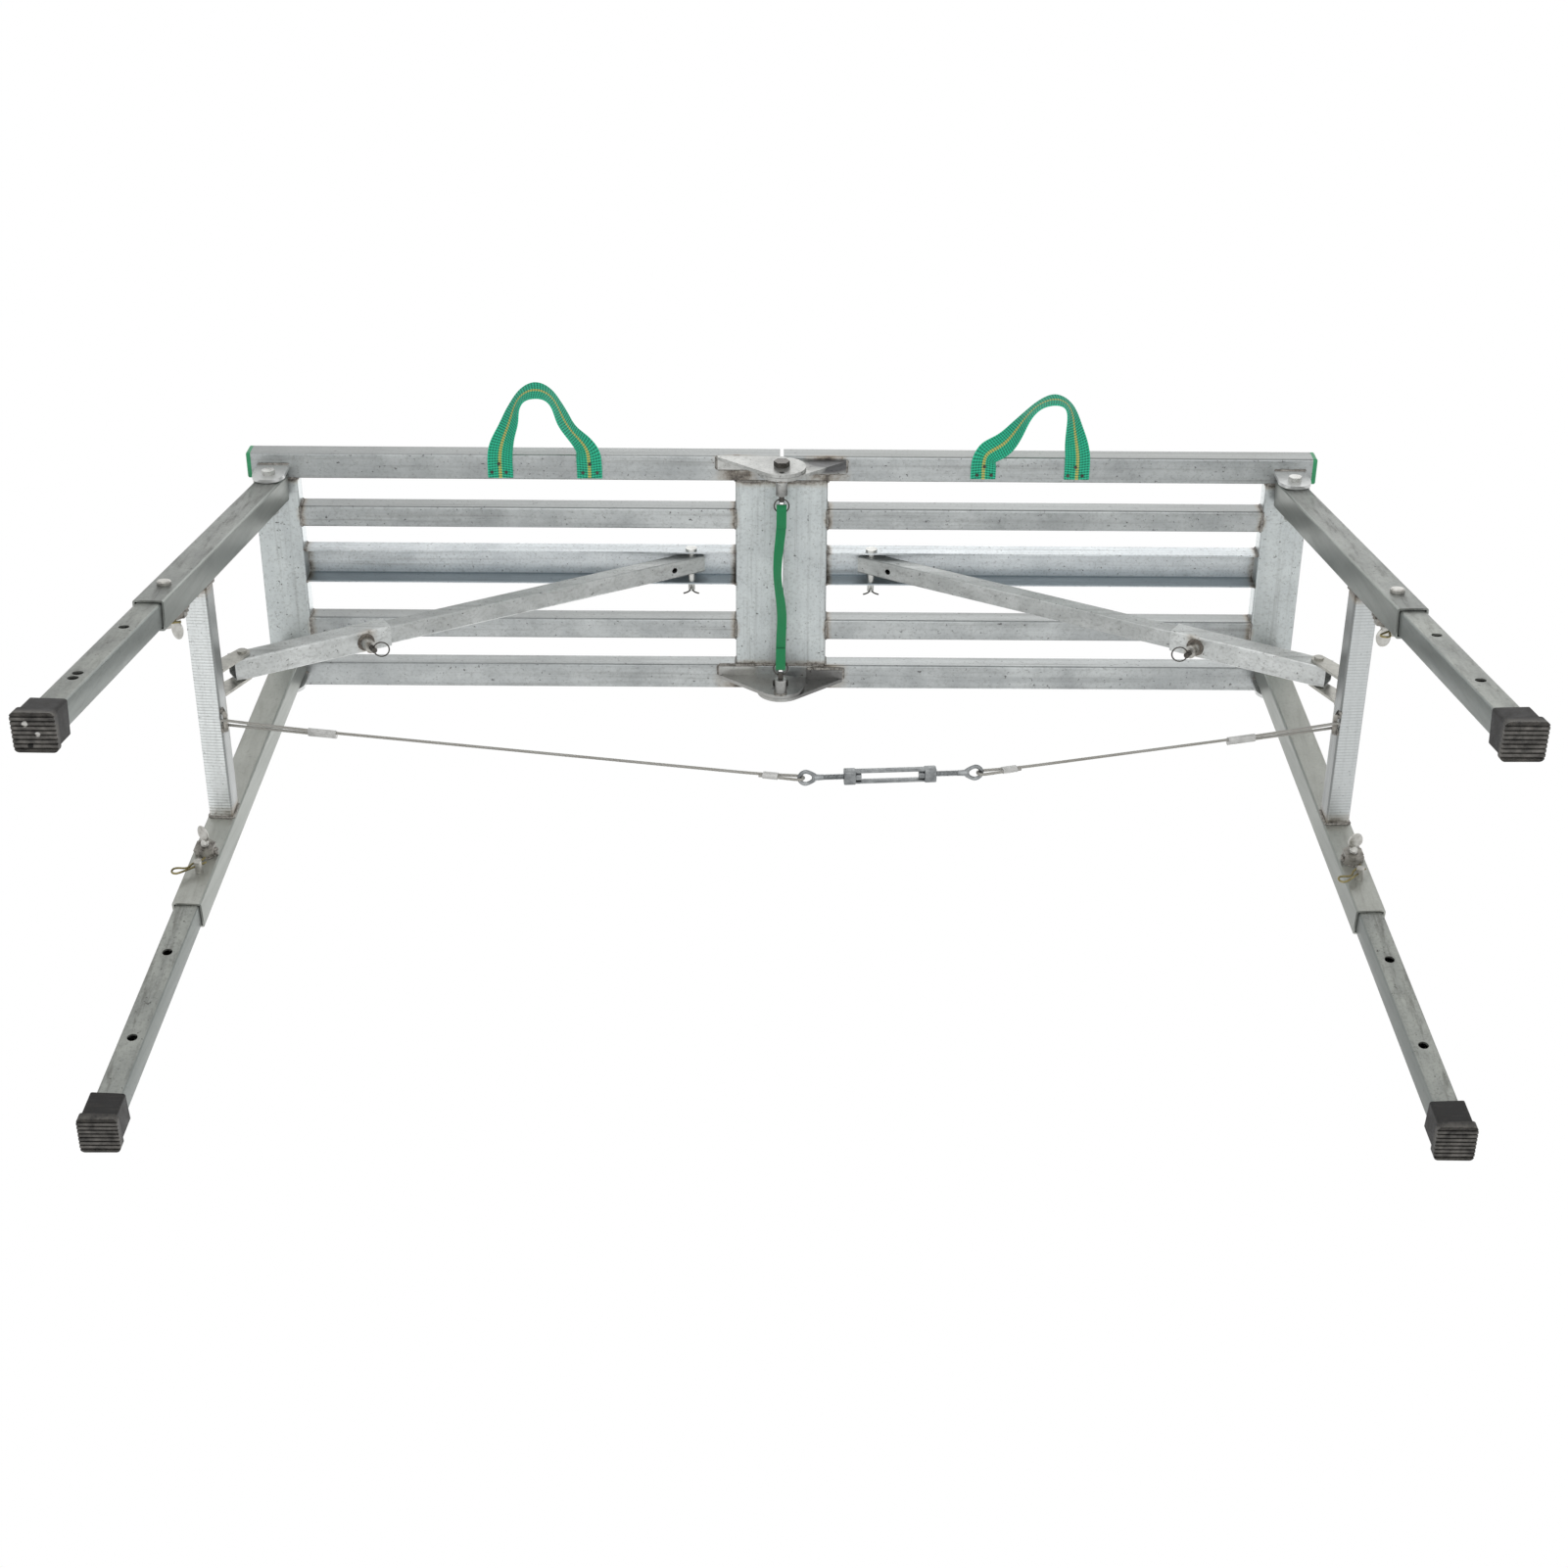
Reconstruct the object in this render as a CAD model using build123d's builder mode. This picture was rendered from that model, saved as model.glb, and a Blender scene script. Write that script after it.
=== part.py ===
from build123d import *
from math import cos, pi, radians, sin, tan
import os

os.makedirs("parts", exist_ok=True)

# Deck
deck_length = 1200.0
deck_width = 290.0
deck_depth = 25.0
rail_width = 30.0
rail_wall = 1.5
slat_width = 25.0
slat_offset = 69.0
cross_width = 50.0
channel_width = 40.0
channel_wall = 2.0
channel_offset = -8.0
half_gap = 4.0
cap_thickness = 5.0
cap_plug = 15.0
plug_clearance = 0.1
tube_corner = 2.5
wire_sides = 6
edge_break = 1.2

# Legs
leg_reach = 767.0
splay_x = radians(3.4)
splay_y = radians(7.2)
pivot_drop = 30.0
pivot_inset = 30.0
leg_inset = 35.0
outer_size = 30.0
leg_clearance = 0.5
leg_wall = 2.0
outer_above = 22.0
outer_below = 450.0
inner_top = 260.0
sole_thickness = 10.0
hole_pitch = 62.5
hole_count = 7
pin_at = 398.0
screw_at = 368.0
crossbar_at = 293.0
crossbar_size = 25.0

# Feet
foot_height = 39.0
foot_wall = 4.0
lip_height = 10.0
lip_width = 2.0
rib_pitch = 4.2
rib_groove = 1.6
rib_depth = 1.5
rib_count = 8

# Pins, screws and clips
bolt_radius = 4.0
washer_radius = 8.0
washer_thickness = 1.5
nut_flat = 7.5
bolt_head_height = 5.0
leg_nut_height = 6.5
bolt_end = 2.0
clevis_head = 6.5
clevis_head_height = 3.0
clevis_tail = 9.0
split_pin_at = 5.0
split_pin_radius = 1.1
split_pin_eye = 2.8
pin_radius = 4.0
pin_head = 7.0
pin_tail = 14.0
clip_wire = 1.1
clip_standoff = 8.0
clip_angle = radians(50)
nut_height = 12.0
nut_radius = 11.0
paddle_length = 17.0
paddle_width = 14.0
paddle_thickness = 4.0
running_fit = 0.1
face_gap = 0.3

# Leg ears
ear_radius = 18.0
ear_thickness = 4.0
ear_clearance = 3.0

# Hinges between the halves
hinge_drop = 30.0
lobe_radius = 27.0
plate_thickness = 4.0
plate_tip = 72.0
strip_start = 30.0
strip_width = 11.0
hinge_bolt_radius = 5.0
hinge_nut = 9.0
hinge_nut_height = 6.7
hinge_head_height = 6.0
front_plate_proud = 0.5
back_plate_inset = 19.0
lock_drop = 20.0
lock_radius = 3.0
lock_sleeve_radius = 6.5
lock_sleeve_length = 18.0
lock_tip_gap = 0.6
ring_radius = 8.2
ring_wire = 0.8

# Release strap
strap_width = 11.0
strap_thickness = 1.6
strap_slot = 11.0
strap_reach = 1.9

# Braces
brace_row = -12.0
brace_rise = 58.0
brace_forward = 20.0
clevis_x = 103.0
clevis_rise = 6.0
sleeve_size = 24.0
tube_size = 20.0
brace_wall = 1.5
sleeve_length = 161.5
sleeve_back = 12.0
tube_tail = 105.5
tube_end = 12.0
boss_at = 132.5
boss_radius = 6.5
boss_height = 16.0
plunger_rise = 8.5
eye_inset = 3.0
plunger_radius = 3.0
far_hole = 27.0
lug_thickness = 3.0
lug_radius = 8.0
lug_base = 26.0
rivet_radius = 3.0

# Wire rope and turnbuckle
rope_radius = 1.5
staple_forward = 18.0
staple_below = 16.0
staple_wire = 2.5
staple_half = 10.0
left_rope_row = 18.0
right_rope_row = 13.5
eye_row = 12.0
left_eye = (26.0, -461.0)
right_eye = (193.0, -448.0)
eye_radius = 7.0
eye_wire = 2.0
rod_radius = 3.0
body_start = 37.0
body_length = 92.0
body_block = 12.0
body_width = 14.0
body_bar = 4.0
ferrule_length = 30.0
near_ferrule = 105.0
eye_ferrule = 34.0

# Carrying handles
webbing_width = 28.0
webbing_thickness = 2.0
handle_reach = 77.0
handle_spread = 102.0
handle_tab = 25.0
left_handle_x = -266.0
right_handle_x = 278.0
rivet_head = 1.8
rivet_rise = 0.8

# Places that follow from the sizes
pivot_z = leg_reach * cos(splay_x) * cos(splay_y)
under_z = pivot_z + pivot_drop
mid_z = under_z + deck_depth / 2
pivot_x = deck_length / 2 - pivot_inset
rail_y = (deck_width - rail_width) / 2
rail_inner = deck_width / 2 - rail_width
rail_end = deck_length / 2 - cap_thickness
leg_row = deck_width / 2 - leg_inset
ear_face = leg_row + outer_size / 2 + ear_clearance
front_plate = -deck_width / 2 - front_plate_proud
back_plate = deck_width / 2 - back_plate_inset
near_x = half_gap / 2 + cross_width
far_x = rail_end - cross_width
hinge_z = under_z - hinge_drop
lock_z = hinge_z - lock_drop
inner_end = leg_reach - sole_thickness
inner_size = outer_size - 2 * leg_wall - 2 * leg_clearance
sides = {"left": -1, "right": 1}
rows = {"front": -1, "back": 1}


def save(builder, name):
    builder.part.label = name
    export_step(builder.part, "parts/" + name + ".step")


def along_x(sx, start, y, z):
    return Plane(origin=(sx * start, y, z), x_dir=(0, sx, 0), z_dir=(sx, 0, 0))


def along_y(x, start, z):
    return Plane(origin=(x, start, z), x_dir=(1, 0, 0), z_dir=(0, 1, 0))


def leg_axes(sx, sy):
    down = Vector(sx * sin(splay_x) * cos(splay_y), sy * sin(splay_y), -cos(splay_x) * cos(splay_y))
    out = Vector(-sx * sin(splay_x) * sin(splay_y), sy * cos(splay_y), cos(splay_x) * sin(splay_y))
    return down, out


def leg_point(sx, sy, below, outward=0.0):
    down, out = leg_axes(sx, sy)
    return Vector(sx * pivot_x, sy * leg_row, pivot_z) + down * below + out * outward


def leg_plane(sx, sy, below):
    down, out = leg_axes(sx, sy)
    return Plane(origin=leg_point(sx, sy, below), x_dir=out, z_dir=down)


def pin_plane(sx, sy, below, outward=0.0):
    down, out = leg_axes(sx, sy)
    return Plane(origin=leg_point(sx, sy, below, outward), x_dir=down, z_dir=out)


def frame_plane(sx):
    inward = (-sx * cos(splay_x), 0, -sin(splay_x))
    return Plane(origin=(sx * pivot_x, 0, pivot_z), x_dir=(0, -sx, 0), z_dir=inward)


def frame_point(sx, y, up, inward):
    x = sx * (pivot_x - up * sin(splay_x) - inward * cos(splay_x))
    return Vector(x, y, pivot_z + up * cos(splay_x) - inward * sin(splay_x))


def brace_ends(sx):
    foot = frame_point(sx, brace_row, brace_rise - crossbar_at, brace_forward)
    head = Vector(sx * clevis_x, brace_row, under_z + clevis_rise)
    return foot, head


def brace_plane(sx, along):
    foot, head = brace_ends(sx)
    run = (head - foot).normalized()
    lower = Vector(-sx * run.Z, 0, -abs(run.X))
    return Plane(origin=foot + run * along, x_dir=lower, z_dir=run)


def brace_normal(sx, along, outward=0.0):
    section = brace_plane(sx, along)
    return Plane(origin=section.origin + section.x_dir * outward, x_dir=section.z_dir, z_dir=section.x_dir)


def add_tube(plane, wide, deep, wall, length):
    with BuildSketch(plane) as section:
        RectangleRounded(wide, deep, tube_corner)
        Rectangle(wide - 2 * wall, deep - 2 * wall, mode=Mode.SUBTRACT)
    extrude(section.sketch, amount=length)


def add_bar(plane, wide, deep, length, mode=Mode.ADD):
    with BuildSketch(plane) as section:
        Rectangle(wide, deep)
    extrude(section.sketch, amount=length, mode=mode)


def add_rod(plane, radius, start, end, mode=Mode.ADD):
    with Locations(plane.offset(start)):
        Cylinder(radius, end - start, align=(Align.CENTER, Align.CENTER, Align.MIN), mode=mode)


def add_hex(plane, radius, start, end):
    with BuildSketch(plane.offset(start)) as section:
        RegularPolygon(radius, 6)
    extrude(section.sketch, amount=end - start)


def add_wire(points, radii, radius):
    with BuildLine() as route:
        FilletPolyline(*points, radius=radii)
    path = route.wire()
    with BuildSketch(Plane(origin=path @ 0, z_dir=path % 0)) as section:
        RegularPolygon(radius, wire_sides)
    sweep(section.sketch, path=path)
    return path.length


def add_ring(plane, radius, wire):
    profile = Plane(origin=plane.origin, x_dir=plane.x_dir, z_dir=plane.y_dir)
    with BuildSketch(profile) as section:
        with Locations((radius, 0)):
            RegularPolygon(wire, wire_sides)
    revolve(section.sketch, axis=Axis(plane.origin, plane.z_dir))


def handle_rivets(x):
    """Places of the six rivets of one handle, three at each end."""
    spots = []
    for end in (-0.5, 0.5):
        for dx, dy in ((-8, 20), (8, 20), (0, 10)):
            spots.append((x + end * handle_spread + dx, -deck_width / 2 + dy))
    return spots


# Deck halves
def build_rails(side, sx):
    with BuildPart() as rails:
        for sy in rows.values():
            add_tube(along_x(sx, half_gap / 2, sy * rail_y, mid_z), rail_width, deck_depth, rail_wall,
                     rail_end - half_gap / 2)
    save(rails, side + "_rails")


def build_slats(side, sx):
    with BuildPart() as slats:
        for sy in rows.values():
            add_tube(along_x(sx, near_x, sy * slat_offset, mid_z), slat_width, deck_depth, rail_wall,
                     far_x - near_x)
    save(slats, side + "_slats")


def build_channel(side, sx):
    with BuildPart() as channel:
        start = along_x(sx, near_x, channel_offset, mid_z)
        add_bar(start, channel_width, deck_depth, far_x - near_x)
        fillet(channel.edges().filter_by(Axis.X).group_by(Axis.Z)[-1], tube_corner)
        lowered = along_x(sx, near_x, channel_offset, mid_z - channel_wall)
        add_bar(lowered, channel_width - 2 * channel_wall, deck_depth, far_x - near_x, Mode.SUBTRACT)
        add_rod(along_y(sx * clevis_x, channel_offset, under_z + clevis_rise), bolt_radius + running_fit,
                -channel_width, channel_width, Mode.SUBTRACT)
    save(channel, side + "_channel")


def build_cross_tubes(side, sx):
    with BuildPart() as cross:
        for edge in (half_gap / 2, far_x):
            add_tube(along_y(sx * (edge + cross_width / 2), -rail_inner, mid_z), cross_width, deck_depth,
                     rail_wall, 2 * rail_inner)
    save(cross, side + "_cross_tubes")


def build_end_caps(side, sx):
    with BuildPart() as caps:
        for sy in rows.values():
            end = along_x(sx, rail_end, sy * rail_y, mid_z)
            with BuildSketch(end) as face:
                RectangleRounded(rail_width, deck_depth, tube_corner)
            extrude(face.sketch, amount=cap_thickness)
            inset = 2 * (rail_wall + plug_clearance)
            with BuildSketch(end) as plug:
                RectangleRounded(rail_width - inset, deck_depth - inset, 1)
            extrude(plug.sketch, amount=-cap_plug)
        ends = caps.faces().filter_by(Axis.X).group_by(Axis.X)[0 if sx < 0 else -1]
        chamfer(ends.edges(), edge_break)
    save(caps, side + "_end_caps")


def plate_faces(sx, sy):
    """Outer faces of the two plates of one hinge: the left plate lies toward the front."""
    first = front_plate if sy < 0 else back_plate
    return first if sx < 0 else first + plate_thickness + face_gap


def build_brackets(side, sx):
    with BuildPart() as brackets:
        # Hinge plates with their base strips
        for sy in rows.values():
            face = plate_faces(sx, sy)
            lobe = Plane(origin=(0, face, hinge_z), x_dir=(-sx, 0, 0), z_dir=(0, sx, 0))
            with BuildSketch(lobe) as outline:
                Circle(lobe_radius)
                with Locations((-plate_tip / 2 - 2, hinge_drop - 2)):
                    Rectangle(plate_tip - 4, 4)
                make_hull()
            extrude(outline.sketch, amount=sx * plate_thickness)
            strip_y = face + plate_thickness + strip_width / 2 if sy < 0 else face - strip_width / 2
            with Locations((sx * (strip_start + plate_tip) / 2, strip_y, under_z - plate_thickness / 2)):
                Box(plate_tip - strip_start, strip_width, plate_thickness)
            bore = hinge_bolt_radius + running_fit if sx > 0 else hinge_bolt_radius
            add_rod(along_y(0, face, hinge_z), bore, -1, plate_thickness + 1, Mode.SUBTRACT)
            if sx * sy < 0:
                inner = face + plate_thickness if sy < 0 else face - lock_sleeve_length
                add_rod(along_y(0, inner, lock_z), lock_sleeve_radius, 0, lock_sleeve_length)
            add_rod(along_y(0, face, lock_z), lock_radius + running_fit, -lock_sleeve_length - 1,
                    plate_thickness + lock_sleeve_length + 1, Mode.SUBTRACT)
        # Ears for the legs
        for sy in rows.values():
            ear = Plane(origin=(sx * pivot_x, sy * ear_face, pivot_z), x_dir=(sy, 0, 0), z_dir=(0, sy, 0))
            rise = -pivot_drop / 2 if ear.y_dir.Z < 0 else pivot_drop / 2
            with BuildSketch(ear) as outline:
                Circle(ear_radius)
                with Locations((0, rise)):
                    Rectangle(2 * ear_radius, pivot_drop)
                Circle(bolt_radius, mode=Mode.SUBTRACT)
            extrude(outline.sketch, amount=ear_thickness)
    save(brackets, side + "_brackets")


def build_bolts(side, sx):
    with BuildPart() as bolts:
        # Leg bolts with washers and nuts
        tilt = washer_radius * tan(splay_y) + face_gap
        outer_face = leg_row + outer_size / 2 / cos(splay_y) + tilt
        inner_face = leg_row - outer_size / 2 / cos(splay_y) - tilt
        for sy in rows.values():
            axis = Plane(origin=(sx * pivot_x, 0, pivot_z), x_dir=(1, 0, 0), z_dir=(0, sy, 0))
            head = ear_face + ear_thickness
            nut = inner_face - washer_thickness - leg_nut_height
            add_rod(axis, bolt_radius, nut - bolt_end, head)
            add_rod(axis, washer_radius, outer_face, ear_face)
            add_rod(axis, washer_radius, inner_face - washer_thickness, inner_face)
            add_hex(axis, nut_flat, nut, inner_face - washer_thickness)
            add_hex(axis, nut_flat, head, head + bolt_head_height)
        # Clevis pin with its split pin
        axis = along_y(sx * clevis_x, channel_offset, under_z + clevis_rise)
        reach = channel_width / 2
        add_rod(axis, bolt_radius, -reach, reach + clevis_tail)
        add_rod(axis, clevis_head, -reach - clevis_head_height, -reach)
        tail = Plane(origin=(sx * clevis_x, channel_offset + reach + split_pin_at, under_z + clevis_rise))
        add_rod(tail, split_pin_radius, -12, 6)
        eye = tail.origin + Vector(0, 0, 6 + split_pin_eye - 0.2)
        add_ring(Plane(origin=eye, z_dir=(0, 1, 0)), split_pin_eye, 1.0)
        # Hinge bolts
        if sx < 0:
            for sy in rows.values():
                first = plate_faces(-1, sy)
                last = plate_faces(1, sy) + plate_thickness
                axis = along_y(0, 0, hinge_z)
                nut = last + face_gap + hinge_nut_height
                add_rod(axis, hinge_bolt_radius, first, nut + bolt_end)
                add_hex(axis, hinge_nut, first - hinge_head_height, first)
                add_hex(axis, hinge_nut, last + face_gap, nut)
    save(bolts, side + "_bolts")


def build_handle(side, sx):
    x = left_handle_x if sx < 0 else right_handle_x
    middle = -deck_width / 2 - (handle_reach - webbing_width / 2 - handle_spread / 2)
    with BuildPart() as handle:
        with BuildSketch(Plane.XY.offset(under_z - webbing_thickness)) as outline:
            with Locations((x, middle)):
                Circle((handle_spread + webbing_width) / 2)
                Circle((handle_spread - webbing_width) / 2, mode=Mode.SUBTRACT)
                with Locations((0, handle_spread)):
                    Rectangle(3 * handle_spread, 2 * handle_spread, mode=Mode.SUBTRACT)
            straight = -deck_width / 2 + handle_tab - middle
            for end in (-0.5, 0.5):
                with Locations((x + end * handle_spread, middle + straight / 2)):
                    Rectangle(webbing_width, straight)
        extrude(outline.sketch, amount=webbing_thickness)
    save(handle, side + "_handle")
    with BuildPart() as rivets:
        for rx, ry in handle_rivets(x):
            spot = Plane((rx, ry, under_z - webbing_thickness))
            add_rod(spot, rivet_head, -rivet_rise, 0)
    save(rivets, side + "_handle_rivets")


# Hinge locks and the strap that pulls them
def lock_ring_y(sy):
    """Centre of the pull ring of one hinge lock."""
    inner = plate_faces(-sy, sy) + (plate_thickness + lock_sleeve_length if sy < 0 else -lock_sleeve_length)
    return inner - sy * (5 + ring_radius)


def build_lock(row, sy):
    near = plate_faces(-sy, sy) + (0 if sy < 0 else plate_thickness)
    tip = near - sy * (lock_tip_gap - face_gap)
    end = lock_ring_y(sy) + sy * (ring_radius - 3)
    with BuildPart() as lock:
        add_rod(along_y(0, min(tip, end), lock_z), lock_radius, 0, abs(tip - end))
        through = (0, lock_ring_y(sy) + sy * ring_radius, lock_z)
        across = Plane(origin=through, x_dir=(0, 1, 0), z_dir=(1, 0, 0))
        add_rod(across, ring_wire + 0.7, -lock_radius - 1, lock_radius + 1, Mode.SUBTRACT)
        add_ring(Plane((0, lock_ring_y(sy), lock_z)), ring_radius, ring_wire)
    save(lock, "hinge_lock_" + row)


def build_strap():
    front = lock_ring_y(-1) + ring_radius
    back = lock_ring_y(1) - ring_radius
    slot = 2 * (ring_wire + 0.6)
    start = strap_slot / 2 - strap_reach + slot / 2 + strap_thickness / 2
    with BuildPart() as strap:
        with BuildSketch(Plane.YZ.offset(-strap_width / 2)) as outline:
            for end, turn in ((front, 1), (back, -1)):
                with Locations((end - turn * strap_reach, lock_z)):
                    SlotCenterToCenter(strap_slot, slot + 2 * strap_thickness)
            with Locations(((front + back) / 2, lock_z)):
                Rectangle(back - front - 2 * start, 2 * strap_thickness)
            for end, turn in ((front, 1), (back, -1)):
                with Locations((end - turn * strap_reach, lock_z)):
                    SlotCenterToCenter(strap_slot, slot, mode=Mode.SUBTRACT)
        extrude(outline.sketch, amount=strap_width)
    save(strap, "release_strap")


# Leg frames
def build_leg_tubes(side, sx):
    with BuildPart() as tubes:
        for sy in rows.values():
            add_tube(leg_plane(sx, sy, -outer_above), outer_size, outer_size, leg_wall,
                     outer_above + outer_below)
            hole = Plane(origin=(sx * pivot_x, sy * leg_row, pivot_z), x_dir=(1, 0, 0), z_dir=(0, 1, 0))
            add_rod(hole, bolt_radius + running_fit, -outer_size, outer_size, Mode.SUBTRACT)
            add_rod(pin_plane(sx, sy, pin_at), pin_radius + running_fit, -outer_size, outer_size,
                    Mode.SUBTRACT)
            add_rod(pin_plane(sx, sy, screw_at), bolt_radius + running_fit, -outer_size, 0, Mode.SUBTRACT)
    save(tubes, side + "_leg_tubes")


def build_crossbar(side, sx):
    half = crossbar_size / 2

    def inner_face(below):
        return leg_row + below * tan(splay_y) - outer_size / 2 / cos(splay_y)

    with BuildPart() as bar:
        high, low = crossbar_at - half, crossbar_at + half
        with BuildSketch(frame_plane(sx)) as outline:
            Polygon((-inner_face(high), -high), (inner_face(high), -high), (inner_face(low), -low),
                    (-inner_face(low), -low), align=None)
        extrude(outline.sketch, amount=half, both=True)
        fillet(bar.edges().filter_by(Axis.Y), tube_corner)
        centre = frame_point(sx, 0, -crossbar_at, 0)
        across = Plane(origin=centre, x_dir=frame_plane(sx).y_dir, z_dir=(0, 1, 0))
        bore = crossbar_size - 2 * leg_wall
        with BuildSketch(across) as hollow:
            Rectangle(bore, bore)
        extrude(hollow.sketch, amount=deck_width, both=True, mode=Mode.SUBTRACT)
    save(bar, side + "_crossbar")


def build_fittings(side, sx):
    half = crossbar_size / 2
    rope_row = left_rope_row if sx < 0 else right_rope_row
    with BuildPart() as fittings:
        # Lugs on the crossbar with the rivets that the brace turns on
        for turn in (-1, 1):
            face = brace_row + turn * (sleeve_size / 2 + face_gap)
            lug = Plane(origin=frame_point(sx, face, -crossbar_at, 0), x_dir=frame_plane(sx).z_dir,
                        z_dir=(0, turn, 0))
            rise = 1 if lug.y_dir.Z > 0 else -1
            with BuildSketch(lug) as outline:
                with Locations((brace_forward, rise * brace_rise)):
                    Circle(lug_radius)
                with Locations((0, rise * (half + 2))):
                    Rectangle(lug_base - 4, 4)
                make_hull()
            extrude(outline.sketch, amount=lug_thickness)
            pivot = Plane(origin=brace_ends(sx)[0], x_dir=(1, 0, 0), z_dir=(0, turn, 0))
            lug_face = sleeve_size / 2 + face_gap + lug_thickness
            add_rod(pivot, rivet_radius, sleeve_size / 2 - brace_wall, lug_face)
            add_rod(pivot, rivet_radius + 2, lug_face, lug_face + 2)
        # Staple for the wire rope
        spots = ((-staple_half, 4.0, half - 6), (-staple_half, -staple_below, staple_forward),
                 (staple_half, -staple_below, staple_forward), (staple_half, 4.0, half - 6))
        add_wire([frame_point(sx, rope_row + y, up - crossbar_at, n) for y, up, n in spots], 4, staple_wire)
        centre = frame_point(sx, 0, -crossbar_at, 0)
        with BuildSketch(Plane(origin=centre, x_dir=frame_plane(sx).y_dir, z_dir=(0, 1, 0))) as bar:
            RectangleRounded(crossbar_size, crossbar_size, tube_corner)
        extrude(bar.sketch, amount=deck_width / 3, both=True, mode=Mode.SUBTRACT)
        # Welded nuts for the thumb screws
        for sy in rows.values():
            place = pin_plane(sx, sy, screw_at)
            add_hex(place, nut_radius, -outer_size / 2 - nut_height, -outer_size / 2)
            add_rod(place, bolt_radius + running_fit, -outer_size / 2 - nut_height, -outer_size / 2,
                    Mode.SUBTRACT)
    save(fittings, side + "_leg_fittings")


# Legs that slide in the frames
def build_leg(name, sx, sy):
    down, out = leg_axes(sx, sy)
    inner_face = outer_size / 2
    with BuildPart() as leg:
        add_tube(leg_plane(sx, sy, inner_top), inner_size, inner_size, leg_wall, inner_end - inner_top)
        for index in range(hole_count):
            below = pin_at + hole_pitch * (index - 2)
            add_rod(pin_plane(sx, sy, below), pin_radius + running_fit, -inner_size, inner_size,
                    Mode.SUBTRACT)
    save(leg, "inner_leg_" + name)

    with BuildPart() as foot:
        top = inner_end - foot_height + sole_thickness
        wide = inner_size + 2 * foot_wall
        with BuildSketch(leg_plane(sx, sy, top)) as cap:
            RectangleRounded(wide, wide, tube_corner)
        extrude(cap.sketch, amount=foot_height + 12)
        with BuildSketch(leg_plane(sx, sy, leg_reach - lip_height)) as lip:
            RectangleRounded(wide + 2 * lip_width, wide + 2 * lip_width, tube_corner + lip_width)
        extrude(lip.sketch, amount=lip_height + 12)
        with BuildSketch(leg_plane(sx, sy, inner_end)) as bore:
            RectangleRounded(inner_size, inner_size, tube_corner)
        extrude(bore.sketch, amount=-foot_height, mode=Mode.SUBTRACT)
        split(bisect_by=Plane.XY, keep=Keep.TOP)
        sole = leg_point(sx, sy, leg_reach)
        with Locations((sole.X, sole.Y, 0)):
            with GridLocations(1, rib_pitch, 1, rib_count):
                Box(3 * wide, rib_groove, 2 * rib_depth, mode=Mode.SUBTRACT)
    save(foot, "foot_" + name)

    # Lock pin with a cross hole, and the wire clip through it
    hang = inner_face + clip_standoff
    side_way = out.cross(down) * sy
    clip_dir = down * cos(clip_angle) + side_way * sin(clip_angle)
    with BuildPart() as pin:
        place = pin_plane(sx, sy, pin_at)
        add_rod(place, pin_radius, -inner_face - pin_tail, inner_face + running_fit)
        add_rod(place, pin_head, inner_face + running_fit, inner_face + 4)
        flats = pin.faces().filter_by(GeomType.PLANE).sort_by(Axis(place.origin, place.z_dir))
        chamfer(flats[-1].edges(), edge_break)
        cross = Plane(origin=leg_point(sx, sy, pin_at, -hang), x_dir=out, z_dir=clip_dir)
        add_rod(cross, clip_wire + running_fit, -pin_head, pin_head, Mode.SUBTRACT)
    save(pin, "lock_pin_" + name)

    with BuildPart() as clip:
        lay = Plane(origin=leg_point(sx, sy, pin_at, -hang), x_dir=clip_dir, z_dir=out)
        spots = ((-9, 0), (24, 0), (33, 4), (27, 12), (18, 3.8), (9, 3.4), (4.5, 5.7), (-4.5, 5.7),
                 (-11, 7.6))
        add_wire([lay.from_local_coords((a, b, 0)) for a, b in spots], 2.2, clip_wire)
    save(clip, "clip_" + name)

    with BuildPart() as screw:
        place = pin_plane(sx, sy, screw_at)
        stem = inner_face + nut_height + 6
        add_rod(place, bolt_radius, -stem - 3, -inner_size / 2 - running_fit)
        grip = leg_point(sx, sy, screw_at, -stem - paddle_length / 2)
        blade = Plane(origin=grip, x_dir=out, z_dir=side_way)
        with BuildSketch(blade) as outline:
            RectangleRounded(paddle_length, paddle_width, 5)
        extrude(outline.sketch, amount=paddle_thickness / 2, both=True)
    save(screw, "thumb_screw_" + name)


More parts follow.
